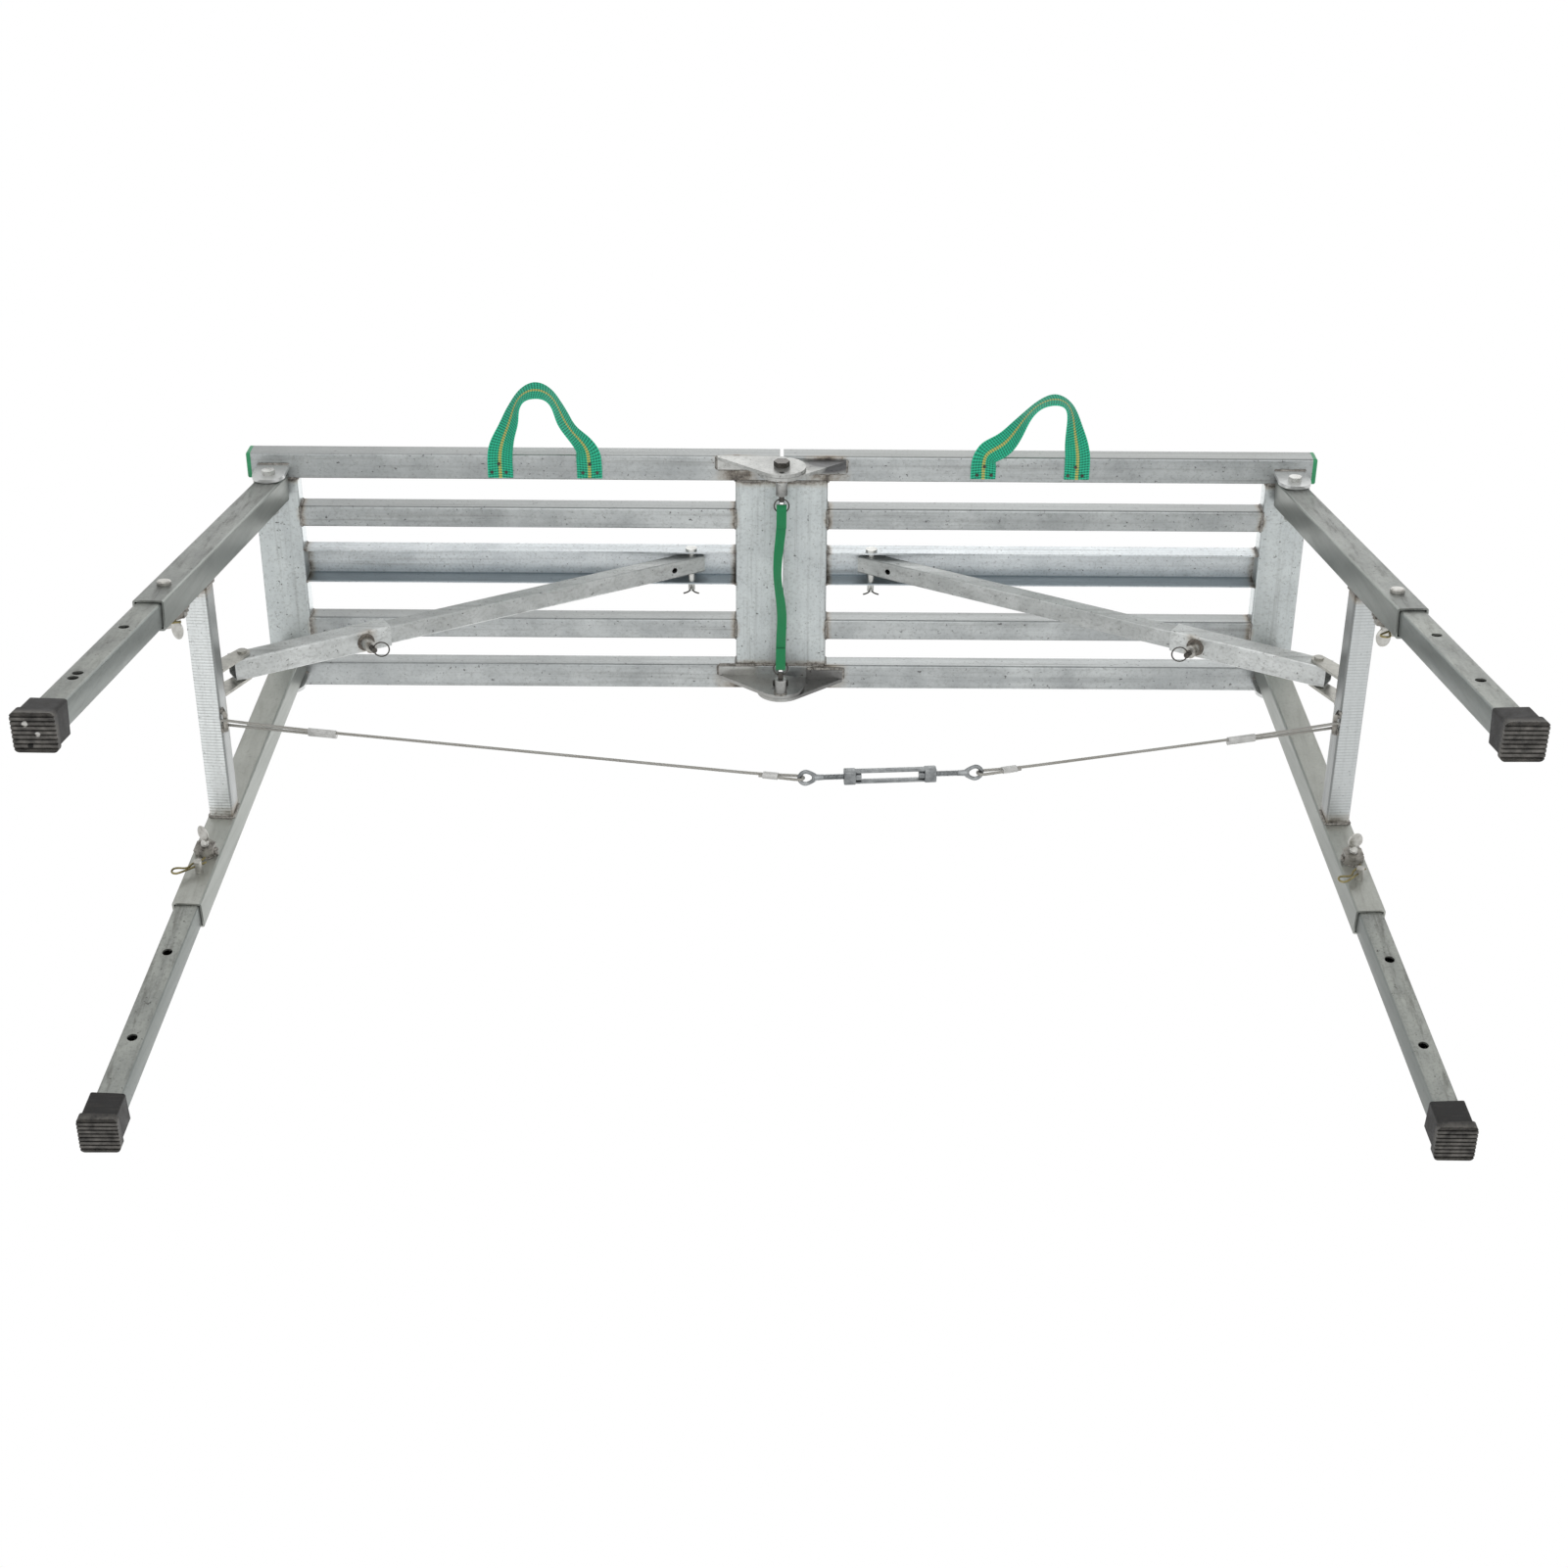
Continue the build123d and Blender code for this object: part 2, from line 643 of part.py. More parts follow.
# Telescopic braces
def build_brace(side, sx):
    foot, head = brace_ends(sx)
    span = (head - foot).length
    lower = sleeve_size / 2
    pivot = Plane(origin=foot, x_dir=(1, 0, 0), z_dir=(0, 1, 0))
    with BuildPart() as sleeve:
        add_tube(brace_plane(sx, -sleeve_back), sleeve_size, sleeve_size, brace_wall,
                 sleeve_length + sleeve_back)
        add_rod(brace_normal(sx, boss_at), boss_radius, lower, lower + boss_height)
        add_rod(brace_normal(sx, boss_at), plunger_radius + running_fit, 0, lower + boss_height,
                Mode.SUBTRACT)
        add_rod(pivot, rivet_radius + running_fit, -sleeve_size, sleeve_size, Mode.SUBTRACT)
    save(sleeve, side + "_brace_sleeve")

    with BuildPart() as tube:
        add_tube(brace_plane(sx, tube_tail), tube_size, tube_size, brace_wall, span + tube_end - tube_tail)
        for along in (boss_at, span - far_hole):
            add_rod(brace_normal(sx, along), plunger_radius + 0.3, 0, tube_size, Mode.SUBTRACT)
        pin = Plane(origin=head, x_dir=(1, 0, 0), z_dir=(0, 1, 0))
        add_rod(pin, bolt_radius + face_gap, -tube_size, tube_size, Mode.SUBTRACT)
    save(tube, side + "_brace_tube")

    with BuildPart() as plunger:
        place = brace_normal(sx, boss_at)
        end = lower + boss_height + plunger_rise
        add_rod(place, plunger_radius, tube_size / 2 + lock_tip_gap, end)
        eye = Plane(origin=place.origin + place.z_dir * (end - eye_inset), x_dir=place.z_dir, z_dir=(0, 1, 0))
        add_rod(eye, ring_wire + 0.7, -plunger_radius - 1, plunger_radius + 1, Mode.SUBTRACT)
        swing = place.z_dir * 0.4 + place.x_dir * 0.9
        middle = eye.origin + swing.normalized() * ring_radius
        hang = Plane(origin=middle, x_dir=(0, 1, 0), z_dir=swing.cross(Vector(0, 1, 0)))
        add_ring(hang, ring_radius, ring_wire)
    save(plunger, side + "_brace_plunger")


# Wire rope: each rope goes round its staple and round its turnbuckle eye
def rope_points(start, finish):
    run = finish - start
    span = run.length
    one = run.normalized()
    two = (Vector(0, 1, 0) - one * one.Y).normalized()
    three = one.cross(two)
    if three.Z < 0:
        three = three * -1
    turn = staple_wire + rope_radius + 0.5
    bend = eye_wire + rope_radius + 1.0
    side = 2 * rope_radius + 0.4
    spots = ((near_ferrule + 14, side, 0), (-turn, 5, turn), (-turn, -5, -turn), (near_ferrule - 14, 0, 0),
             (span - eye_ferrule - 8, 0, 0), (span + bend, 0, bend), (span + bend, 0, -bend),
             (span - eye_ferrule - 6, 0, -side))
    return [start + one * a + two * b + three * c for a, b, c in spots]


def rope_ends(side, sx):
    row = left_rope_row if sx < 0 else right_rope_row
    start = frame_point(sx, row, -staple_below - crossbar_at, staple_forward)
    eye = left_eye if sx < 0 else right_eye
    finish = Vector(eye[0] + sx * eye_radius, eye_row, under_z + eye[1])
    return start, finish


def build_rope(side, sx):
    start, finish = rope_ends(side, sx)
    radii = [4.4, 4.4, 40, 40, 4.3, 4.3]
    rope_area = wire_sides / 2 * rope_radius**2 * sin(2 * pi / wire_sides)
    with BuildPart() as rope:
        length = add_wire(rope_points(start, finish), radii, rope_radius)
    print(side, "rope length", round(length, 1), "volume", round(rope.part.volume, 1), "of",
          round(rope_area * length, 1), "radii", radii)
    save(rope, side + "_rope")

    run = (finish - start).normalized()
    across = (Vector(0, 1, 0) - run * run.Y).normalized()
    upright = run.cross(across)
    side_step = 2 * rope_radius + 0.4
    with BuildPart() as ferrules:
        near = start + run * (near_ferrule - ferrule_length / 2) + across * (side_step / 2)
        with BuildSketch(Plane(origin=near, x_dir=across, z_dir=run)) as section:
            SlotCenterToCenter(side_step, 2 * rope_radius + 2.4)
        extrude(section.sketch, amount=ferrule_length)
        rise = upright if upright.Z > 0 else upright * -1
        far = finish - run * (eye_ferrule + 2) - rise * (side_step / 2 - 0.6)
        with BuildSketch(Plane(origin=far, x_dir=rise, z_dir=run)) as section:
            SlotCenterToCenter(side_step, 2 * rope_radius + 2.6)
        extrude(section.sketch, amount=15)
    save(ferrules, side + "_ferrules")


def build_turnbuckle():
    left = Vector(left_eye[0], eye_row, under_z + left_eye[1])
    right = Vector(right_eye[0], eye_row, under_z + right_eye[1])
    run = (right - left).normalized()
    span = (right - left).length
    axis = Plane(origin=left, x_dir=(0, 1, 0), z_dir=run)
    with BuildPart() as eyes:
        lean = run.cross(Vector(0, 1, 0))
        for centre, start, end in ((left, eye_radius, body_start + body_block + 22),
                                   (right, body_start + body_length - body_block - 22, span - eye_radius)):
            add_ring(Plane(origin=centre, x_dir=run, z_dir=lean), eye_radius, eye_wire)
            add_rod(axis, rod_radius, start, end)
    save(eyes, "turnbuckle_eyes")

    with BuildPart() as body:
        for start in (body_start, body_start + body_length - body_block):
            add_bar(axis.offset(start), body_width, body_width, body_block)
        for side in (-1, 1):
            bar = Plane(origin=left + run * body_start + Vector(0, side * (body_width - body_bar) / 2, 0),
                        x_dir=(0, 1, 0), z_dir=run)
            add_bar(bar, body_bar, body_width - 6, body_length)
        fillet(body.edges().filter_by(Axis((0, 0, 0), run)), 0.8)
        add_rod(axis, rod_radius + running_fit, 0, span, Mode.SUBTRACT)
    save(body, "turnbuckle_body")


for side, sx in sides.items():
    build_rails(side, sx)
    build_slats(side, sx)
    build_channel(side, sx)
    build_cross_tubes(side, sx)
    build_end_caps(side, sx)
    build_brackets(side, sx)
    build_bolts(side, sx)
    build_handle(side, sx)
    build_leg_tubes(side, sx)
    build_crossbar(side, sx)
    build_fittings(side, sx)
    build_brace(side, sx)
    build_rope(side, sx)
    for row, sy in rows.items():
        build_leg(side + "_" + row, sx, sy)

for row, sy in rows.items():
    build_lock(row, sy)
build_strap()
build_turnbuckle()
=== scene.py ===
import bpy
import random
from math import cos, pi, radians, sin, tan
from mathutils import Matrix, Vector


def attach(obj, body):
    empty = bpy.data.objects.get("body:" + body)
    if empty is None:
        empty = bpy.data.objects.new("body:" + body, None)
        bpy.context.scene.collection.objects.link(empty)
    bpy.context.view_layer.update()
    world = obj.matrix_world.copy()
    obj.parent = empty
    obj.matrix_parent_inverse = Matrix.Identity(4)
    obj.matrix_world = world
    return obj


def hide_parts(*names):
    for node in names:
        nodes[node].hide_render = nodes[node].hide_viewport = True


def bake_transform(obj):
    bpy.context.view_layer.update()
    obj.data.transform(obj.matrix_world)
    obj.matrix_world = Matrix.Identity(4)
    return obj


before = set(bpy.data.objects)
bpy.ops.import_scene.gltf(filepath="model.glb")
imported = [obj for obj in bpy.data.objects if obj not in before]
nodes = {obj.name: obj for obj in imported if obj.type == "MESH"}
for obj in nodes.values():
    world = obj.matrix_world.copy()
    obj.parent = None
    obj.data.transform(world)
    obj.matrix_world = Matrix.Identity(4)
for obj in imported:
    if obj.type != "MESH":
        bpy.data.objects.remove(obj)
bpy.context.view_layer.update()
chance = random.Random(7)
sides = {"left": -1, "right": 1}
rows = {"front": -1, "back": 1}

# Sizes of the platform, in millimetres
mm = 0.001
splay_x = radians(3.4)
splay_y = radians(7.2)
pivot_x = 570.0
leg_row = 110.0
pivot_z = 767.0 * cos(splay_x) * cos(splay_y)
under_z = pivot_z + 30.0
lock_z = pivot_z - 20.0
gap_x = 2.0
near_x = 52.0
far_x = 545.0
rail_end = 595.0
rail_inner = 115.0
rail_face = 145.0
slat_rows = (-69.0, 69.0)
slat_half = 12.5
slat_inner = slat_rows[1] - slat_half
slat_outer = slat_rows[1] + slat_half
channel_walls = (-28.0, 12.0)
plate_rows = {"front": -145.5, "back": 126.0}
plate_step = 4.3
strip_reach = {"front": 15.0, "back": -11.0}
strip_near = 31.0
strip_far = 71.0
strip_end = 72.5
sleeve_reach = {"front": 4.5, "back": -0.5}
ear_half = 17.0
ear_faces = (128.0, 132.0)
outer_half = 15.0
inner_half = 12.5
inner_top = 260.0
inner_end = 757.0
crossbar_at = 293.0
crossbar_half = 12.5
pin_at = 398.0
screw_at = 368.0
brace_row = -12.0
brace_rise = 58.0
brace_forward = 20.0
boss_at = 132.5
clevis_x = 103.0
clevis_rise = 6.0
clevis_tail_row = 17.0
rope_rows = {"left": 18.0, "right": 13.5}
eye_row = 12.0
eyes = {"left": Vector((26.0, eye_row, under_z - 461.0)),
        "right": Vector((193.0, eye_row, under_z - 448.0))}
rope_thickness = 0.003
handle_width = 0.028
strap_width = 0.011
along_y = (0, 1, 0)
upward = (0, 0, 1)


def metres(point):
    return Vector(point) * mm


def leg_axes(sx, sy):
    down = Vector((sx * sin(splay_x) * cos(splay_y), sy * sin(splay_y), -cos(splay_x) * cos(splay_y)))
    out = Vector((-sx * sin(splay_x) * sin(splay_y), sy * cos(splay_y), cos(splay_x) * sin(splay_y)))
    return down, out


def leg_spot(sx, sy, below, outward=0.0):
    down, out = leg_axes(sx, sy)
    return Vector((sx * pivot_x, sy * leg_row, pivot_z)) + down * below + out * outward


def frame_spot(sx, y, up, inward):
    x = sx * (pivot_x - up * sin(splay_x) - inward * cos(splay_x))
    return Vector((x, y, pivot_z + up * cos(splay_x) - inward * sin(splay_x)))


def brace_axes(sx):
    foot = frame_spot(sx, brace_row, brace_rise - crossbar_at, brace_forward)
    run = (Vector((sx * clevis_x, brace_row, under_z + clevis_rise)) - foot).normalized()
    return foot, run, Vector((-sx * run.z, 0, -abs(run.x)))


# Ways of working on a piece
def show(thing):
    bpy.context.scene.collection.objects.link(thing)


def unselect():
    bpy.ops.object.select_all(action="DESELECT")


def only(piece):
    """Leaves one piece selected and active."""
    unselect()
    piece.select_set(True)
    bpy.context.view_layer.objects.active = piece
    return piece


def work(piece, kind, **settings):
    """Gives a piece a modifier and applies it."""
    only(piece)
    tool = piece.modifiers.new(kind.lower(), kind)
    for key, value in settings.items():
        setattr(tool, key, value)
    bpy.ops.object.modifier_apply(modifier=tool.name)
    return piece


def smooth(piece, angle=35):
    only(piece)
    bpy.ops.object.shade_smooth_by_angle(angle=radians(angle))
    return piece


def settle(piece, place=Matrix.Identity(4)):
    """Puts a piece's place into its mesh."""
    piece.data.transform(place @ piece.matrix_basis)
    piece.matrix_basis = Matrix.Identity(4)
    return piece


def added(name):
    """The object that the last operator made, under its own name."""
    piece = bpy.context.object
    piece.name = name
    piece.data.name = name
    return piece


def basic(add, name, **settings):
    """A basic shape from one of Blender's operators, under its own name."""
    unselect()
    add(**settings)
    return added(name)


def from_grid(name, corners, faces, edges=()):
    mesh = bpy.data.meshes.new(name)
    mesh.from_pydata(corners, edges, faces)
    piece = bpy.data.objects.new(name, mesh)
    show(piece)
    return piece


def pulled_line(name, route, order, resolution):
    """A smooth line that a route's points, in metres, pull."""
    line = bpy.data.curves.new(name, "CURVE")
    line.dimensions = "3D"
    spline = line.splines.new("NURBS")
    spline.points.add(len(route) - 1)
    for point, place in zip(spline.points, route):
        point.co = (*place, 1.0)
    spline.order_u = order
    spline.use_endpoint_u = True
    spline.resolution_u = resolution
    holder = bpy.data.objects.new(name, line)
    show(holder)
    return holder


def weld_up(name, parts):
    """Joins several parts into one piece."""
    only(parts[0])
    for part in parts[1:]:
        part.select_set(True)
    bpy.ops.object.join()
    return added(name)


def turned_to(origin, along, up):
    """A place with its first axis along one way and its third near another."""
    one = Vector(along).normalized()
    two = Vector(up).cross(one).normalized()
    three = one.cross(two)
    place = Matrix((one, two, three)).transposed().to_4x4()
    place.translation = origin
    return place


def copies(name, shape, places):
    """One piece made of copies of a small shape."""
    corners = []
    faces = []
    for place in places:
        first = len(corners)
        corners += [place @ v.co for v in shape.data.vertices]
        faces += [[first + i for i in face.vertices] for face in shape.data.polygons]
    return from_grid(name, corners, faces)


def hand_over(piece, body, finish, slot, *stands_for):
    """Gives a piece its finish and its body, and hides the nodes that it stands for. Its slot is not used.
    """
    piece.data.materials.clear()
    piece.data.materials.append(finish)
    if body:
        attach(piece, body)
    if stands_for:
        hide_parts(*stands_for)
    return piece


# Finishes
def tone(red, green, blue):
    """A colour from its screen numbers."""
    return tuple(((c / 255 + 0.055) / 1.055) ** 2.4 for c in (red, green, blue)) + (1.0,)


class Finish:
    """A finish, built up node by node."""

    def __init__(self, name, **sockets):
        self.material = bpy.data.materials.new(name)
        self.material.use_nodes = True
        self.tree = self.material.node_tree
        self.shader = self.tree.nodes["Principled BSDF"]
        for key, value in sockets.items():
            self.shader.inputs[key.replace("_", " ").title().replace("Ior", "IOR")].default_value = value

    def feed(self, socket, value):
        if isinstance(value, bpy.types.NodeSocket):
            self.tree.links.new(value, socket)
        else:
            socket.default_value = value

    def add(self, kind, inputs, out=0, **settings):
        node = self.tree.nodes.new("ShaderNode" + kind)
        for key, value in settings.items():
            setattr(node, key, value)
        for key, value in inputs.items():
            self.feed(node.inputs[key], value)
        return node.outputs[out]

    def place(self, kind="Object"):
        return self.add("TexCoord", {}, out=kind)

    def stretched(self, coords, scale, turn=(0, 0, 0)):
        return self.add("Mapping", {"Vector": coords, "Scale": scale, "Rotation": turn})

    def noise(self, coords, scale, detail=4.0, roughness=0.6):
        inputs = {"Vector": coords, "Scale": scale, "Detail": detail, "Roughness": roughness}
        return self.add("TexNoise", inputs)

    def axis(self, coords, name):
        return self.add("SeparateXYZ", {"Vector": coords}, out=name)

    def sum(self, operation, first, second=0.0, clamp=False):
        return self.add("Math", {0: first, 1: second}, operation=operation, use_clamp=clamp)

    def times(self, first, second):
        return self.sum("MULTIPLY", first, second)

    def span(self, value, low, high, start=0.0, end=1.0):
        inputs = {"Value": value, "From Min": low, "From Max": high, "To Min": start, "To Max": end}
        return self.add("MapRange", inputs)

    def away(self, value, centre):
        return self.sum("ABSOLUTE", self.sum("SUBTRACT", value, centre))

    def near(self, value, centre, reach):
        """One at a place and nothing beyond its reach."""
        return self.span(self.away(value, centre), 0.0, reach, 1.0, 0.0)

    def mix(self, share, first, second, blend="MIX"):
        inputs = {0: share, 6: first, 7: second}
        return self.add("Mix", inputs, out=2, data_type="RGBA", blend_type=blend)

    def clouded(self, clouds, dark, light):
        return self.mix(self.span(clouds, 0.3, 0.7), dark, light)

    def bump(self, height, distance, strength=0.5):
        return self.add("Bump", {"Height": height, "Distance": distance, "Strength": strength})

    def done(self, colour, roughness, normal=None):
        self.feed(self.shader.inputs["Base Color"], colour)
        self.feed(self.shader.inputs["Roughness"], roughness)
        if normal:
            self.feed(self.shader.inputs["Normal"], normal)
        return self.material


straw = tone(150, 128, 96)
scorch = tone(60, 57, 56)
edge_shadow = tone(98, 100, 100)


def drawn_zinc(name, stretch, light, shade, grime_and_dark_reflection, turn=(0, 0, 0), burns=(), edges=(), painted_light_and_marks=(),
               ladder=None, streak=0.6, glance=0.75):
    """Plated tube with streaks that are partly drawing marks and partly painted reflection, clouding,
    specks, painted shade lines along edges, patches of painted light and shade, and of soot, and heat marks
    near its welds.
    """
    finish = Finish(name, metallic=0.72, specular_tint=(glance, glance, glance, 1.0))
    coords = finish.place()
    x, y, z = (finish.sum("ABSOLUTE", finish.axis(coords, n)) for n in "XYZ")
    ways = {"x": x, "y": y, "z": z, "east": finish.axis(coords, "X"), "row": finish.axis(coords, "Y"),
            "inward": finish.sum("ADD", x, finish.times(z, tan(splay_x)))}

    def within(spot):
        marks = [finish.near(ways[way], centre * mm, reach * mm) for way, (centre, reach) in spot.items()]
        whole = marks[0]
        for mark in marks[1:]:
            whole = finish.times(whole, mark)
        return whole

    folded = finish.add("CombineXYZ", {"X": x, "Y": y, "Z": z})
    along = finish.stretched(folded if any(turn) else coords, stretch, turn)
    streaks = finish.noise(along, 1.0, 6.0, 0.68)
    bands = finish.noise(along, 0.45, 2.0, 0.5)
    clouds = finish.noise(coords, 17.0, 6.0, 0.66)
    grain = finish.noise(coords, 330.0, 3.0, 0.6)
    specks = finish.span(finish.noise(coords, 240.0, 3.0, 0.55), 0.65, 0.73)
    colour = finish.mix(finish.span(clouds, 0.32, 0.68), shade, light)
    # The bands and the dark and light streaks are partly real drawing marks and partly painted reflection
    # along the tube.
    colour = finish.mix(finish.span(bands, 0.5, 0.72, 0.0, 0.55), colour, shade)
    colour = finish.mix(finish.span(grain, 0.5, 0.75, 0.0, 0.36), colour, grime_and_dark_reflection)
    colour = finish.mix(finish.span(streaks, 0.52, 0.8, 0.0, streak), colour, grime_and_dark_reflection)
    colour = finish.mix(finish.span(streaks, 0.24, 0.44, 0.5, 0.0), colour, light)
    colour = finish.mix(finish.times(specks, 0.8), colour, scorch)
    height = finish.sum("ADD", finish.times(streaks, 0.8), finish.times(clouds, 0.6))
    if ladder:
        waver = finish.sum("ADD", finish.axis(coords, "Y"), finish.times(clouds, 0.002))
        lines = finish.sum("SINE", finish.times(waver, 2 * pi / ladder))
        lines = finish.times(lines, finish.span(clouds, 0.3, 0.55))
        colour = finish.mix(finish.span(lines, 0.1, 0.8, 0.0, 0.5), colour, grime_and_dark_reflection)
        height = finish.sum("ADD", height, finish.times(lines, 0.12))
    # Painted light and painted shade on chosen faces, and soot on the hinge plates, mixed in by position.
    for spot, there, share in painted_light_and_marks:
        colour = finish.mix(finish.span(within(spot), 0.0, 0.25, 0.0, share), colour, there)
    # Painted shade: dark lines along the lower edges of the tubes.
    for spot in edges:
        colour = finish.mix(finish.span(within(spot), 0.05, 0.4, 0.0, 0.5), colour, edge_shadow)
    heat = None
    for spot in burns:
        heat = within(spot) if heat is None else finish.sum("MAXIMUM", heat, within(spot))
    if heat:
        patches = finish.span(finish.noise(coords, 60.0, 5.0, 0.7), 0.25, 0.7, 0.3, 1.5)
        broken = finish.times(heat, patches)
        colour = finish.mix(finish.span(broken, 0.15, 0.8, 0.0, 0.5), colour, straw)
        colour = finish.mix(finish.span(broken, 0.5, 1.0, 0.0, 0.8), colour, scorch)
    rough = finish.span(finish.sum("ADD", streaks, clouds), 0.6, 1.4, 0.24, 0.46)
    return finish.done(colour, rough, finish.bump(height, 0.0005, 0.3))


def plain_plate(name, light, shade, metal, rough, scale=90.0, pits=0.3):
    """Small plated or bare steel with clouding, pits and handling marks."""
    finish = Finish(name, metallic=metal)
    coords = finish.place()
    clouds = finish.noise(coords, scale, 5.0, 0.65)
    pitted = finish.span(finish.noise(coords, scale * 9, 3.0, 0.6), 0.6, 0.75)
    marks = finish.span(finish.noise(finish.stretched(coords, (300, 300, 40)), 1.0, 3.0, 0.6), 0.55, 0.75)
    colour = finish.clouded(clouds, shade, light)
    colour = finish.mix(finish.times(pitted, pits), colour, scorch)
    colour = finish.mix(finish.times(marks, 0.25), colour, light)
    roughness = finish.span(clouds, 0.25, 0.75, rough, rough + 0.2)
    return finish.done(colour, roughness, finish.bump(clouds, 0.0005, 0.3))


def inward_face(reach):
    """Where a face of a leg frame lies, from its distance inward of the leg's middle."""
    return pivot_x + pivot_z * tan(splay_x) - reach / cos(splay_x)


leg_turn = (splay_y, splay_x, 0)
brace_turn = (0, radians(30.5), 0)
zinc_light = tone(196, 200, 200)
zinc_shade = tone(160, 164, 165)
zinc_grime_and_dark_reflection = tone(106, 105, 101)
# Colour of the painted shade on the upright faces of rails and slats
front_shade = tone(140, 142, 140)
long_x = (3.0, 150.0, 150.0)
long_y = (150.0, 3.0, 150.0)
long_z = (150.0, 150.0, 3.0)
# Width of the painted shade lines at the tubes' lower edges
edge_width = 1.7
slat_ends = ({"x": (near_x, 9)}, {"x": (far_x, 9)})


def shaded_lower_edges(*faces):
    """The lower edges of tubes whose upright faces are this far from the middle, where painted shade lines
    run.
    """
    return [{"y": (y, edge_width), "z": (under_z, edge_width)} for y in faces]


# Painted shade on the rails' upright faces, deeper on the right front face.
rail_zinc = drawn_zinc(
    "rail_zinc", long_x, zinc_light, zinc_shade, zinc_grime_and_dark_reflection, edges=shaded_lower_edges(rail_face, rail_inner),
    painted_light_and_marks=(({"row": (-rail_face, 1.0)}, front_shade, 0.5),
            ({"row": (-rail_face, 1.0), "east": (300, 298)}, tone(132, 134, 131), 0.4),
            ({"row": (rail_inner, 1.0)}, front_shade, 0.3)),
    burns=({"x": (51, 34), "z": (under_z, 8)},))
# Painted shade on the slats' upright faces.
slat_zinc = drawn_zinc(
    "slat_zinc", long_x, zinc_light, zinc_shade, zinc_grime_and_dark_reflection, edges=shaded_lower_edges(slat_inner, slat_outer),
    painted_light_and_marks=(({"row": (-slat_outer, 1.0)}, front_shade, 0.5), ({"row": (slat_inner, 1.0)}, front_shade, 0.5)),
    burns=slat_ends)
# Painted light: the channel is paler than the other tubes, against the shade inside it; painted shade
# darkens the inner face of its back wall.
channel_zinc = drawn_zinc(
    "channel_zinc", long_x, tone(226, 231, 233), tone(192, 198, 201), zinc_grime_and_dark_reflection,
    painted_light_and_marks=(({"row": (10, 1.5)}, tone(134, 145, 152), 0.8),), burns=slat_ends)
cross_zinc = drawn_zinc(
    "cross_tube_zinc", long_y, tone(208, 214, 214), tone(186, 192, 193), zinc_grime_and_dark_reflection,
    burns=({"y": (rail_inner, 10)}, {"y": (slat_rows[1], 16), "x": (near_x, 7)},
           {"y": (slat_rows[1], 16), "x": (far_x, 7)}))
plate_zinc = drawn_zinc(
    "hinge_plate_zinc", (60, 60, 60), tone(202, 203, 200), tone(164, 165, 163), zinc_grime_and_dark_reflection,
    painted_light_and_marks=(({"x": (0, 8), "z": (lock_z, 8), "y": (122, 15)}, tone(92, 92, 90), 0.9),
            ({"east": (52, 34), "row": (-138, 14), "z": (under_z - 6, 24)}, tone(70, 70, 73), 0.85),
            ({"row": (128, 12), "east": (-45, 45)}, tone(132, 130, 126), 0.5),
            ({"row": (128, 12), "east": (48, 44)}, tone(74, 72, 72), 0.7),
            ({"x": (pivot_x, 34)}, tone(230, 232, 232), 0.6)))
# Painted light makes the back legs paler; painted shade sets the tone of the legs' inward faces.
leg_zinc = drawn_zinc(
    "outer_leg_zinc", long_z, tone(164, 167, 163), tone(126, 129, 126), tone(66, 63, 58),
    turn=leg_turn, streak=0.8, glance=0.45,
    painted_light_and_marks=(({"row": (170, 110)}, tone(204, 205, 197), 0.42),
            ({"inward": (inward_face(outer_half), 2)}, tone(152, 156, 152), 0.75)))
# Painted shade on the inner legs' inward faces.
inner_zinc = drawn_zinc(
    "inner_leg_zinc", long_z, tone(172, 175, 169), tone(136, 139, 136), tone(76, 73, 68),
    turn=leg_turn, streak=0.75, glance=0.45,
    painted_light_and_marks=(({"inward": (inward_face(inner_half), 1.6)}, tone(132, 137, 135), 0.75),))
# Painted shade darkens the right crossbar and the crossbars' inward faces; the ladder lines are marks on the
# bar.
crossbar_zinc = drawn_zinc(
    "crossbar_zinc", long_y, tone(240, 244, 244), tone(224, 228, 228), tone(140, 142, 140),
    ladder=0.0034, streak=0.4,
    painted_light_and_marks=(({"east": (600, 90)}, tone(178, 182, 183), 0.6),
            ({"inward": (inward_face(crossbar_half), 2)}, tone(110, 113, 112), 0.8)),
    burns=({"y": (133, 16)}, {"y": (12, 20), "z": (pivot_z - 280, 8)}))
brace_zinc = drawn_zinc(
    "brace_zinc", long_x, tone(212, 215, 214), tone(182, 185, 184), zinc_grime_and_dark_reflection, turn=brace_turn,
    burns=({"x": (439, 17), "z": (575, 19)}, {"x": (443, 14), "z": (566, 16)}))
brace_tube_zinc = drawn_zinc(
    "brace_tube_zinc", long_x, tone(192, 195, 194), tone(158, 161, 160), zinc_grime_and_dark_reflection, turn=brace_turn)
turnbuckle_zinc = plain_plate("turnbuckle_zinc", tone(164, 167, 168), tone(102, 105, 107), 0.85, 0.26)
bolt_zinc = plain_plate("bolt_zinc", tone(214, 214, 210), tone(160, 158, 152), 0.85, 0.24, pits=0.35)
pin_steel = plain_plate("pin_steel", tone(196, 195, 190), tone(140, 138, 132), 0.85, 0.28, pits=0.45)
weld_steel = plain_plate("weld_steel", tone(168, 165, 159), tone(84, 80, 76), 0.65, 0.36, 260.0, 0.6)
burnt_steel = plain_plate("burnt_steel", tone(132, 126, 118), tone(72, 66, 60), 0.6, 0.4, 120.0, 0.5)
yellow_zinc = plain_plate("yellow_zinc", tone(152, 141, 98), tone(72, 65, 42), 0.85, 0.26)
ferrule_metal = plain_plate("ferrule_metal", tone(206, 206, 204), tone(160, 160, 158), 0.7, 0.34, pits=0.4)
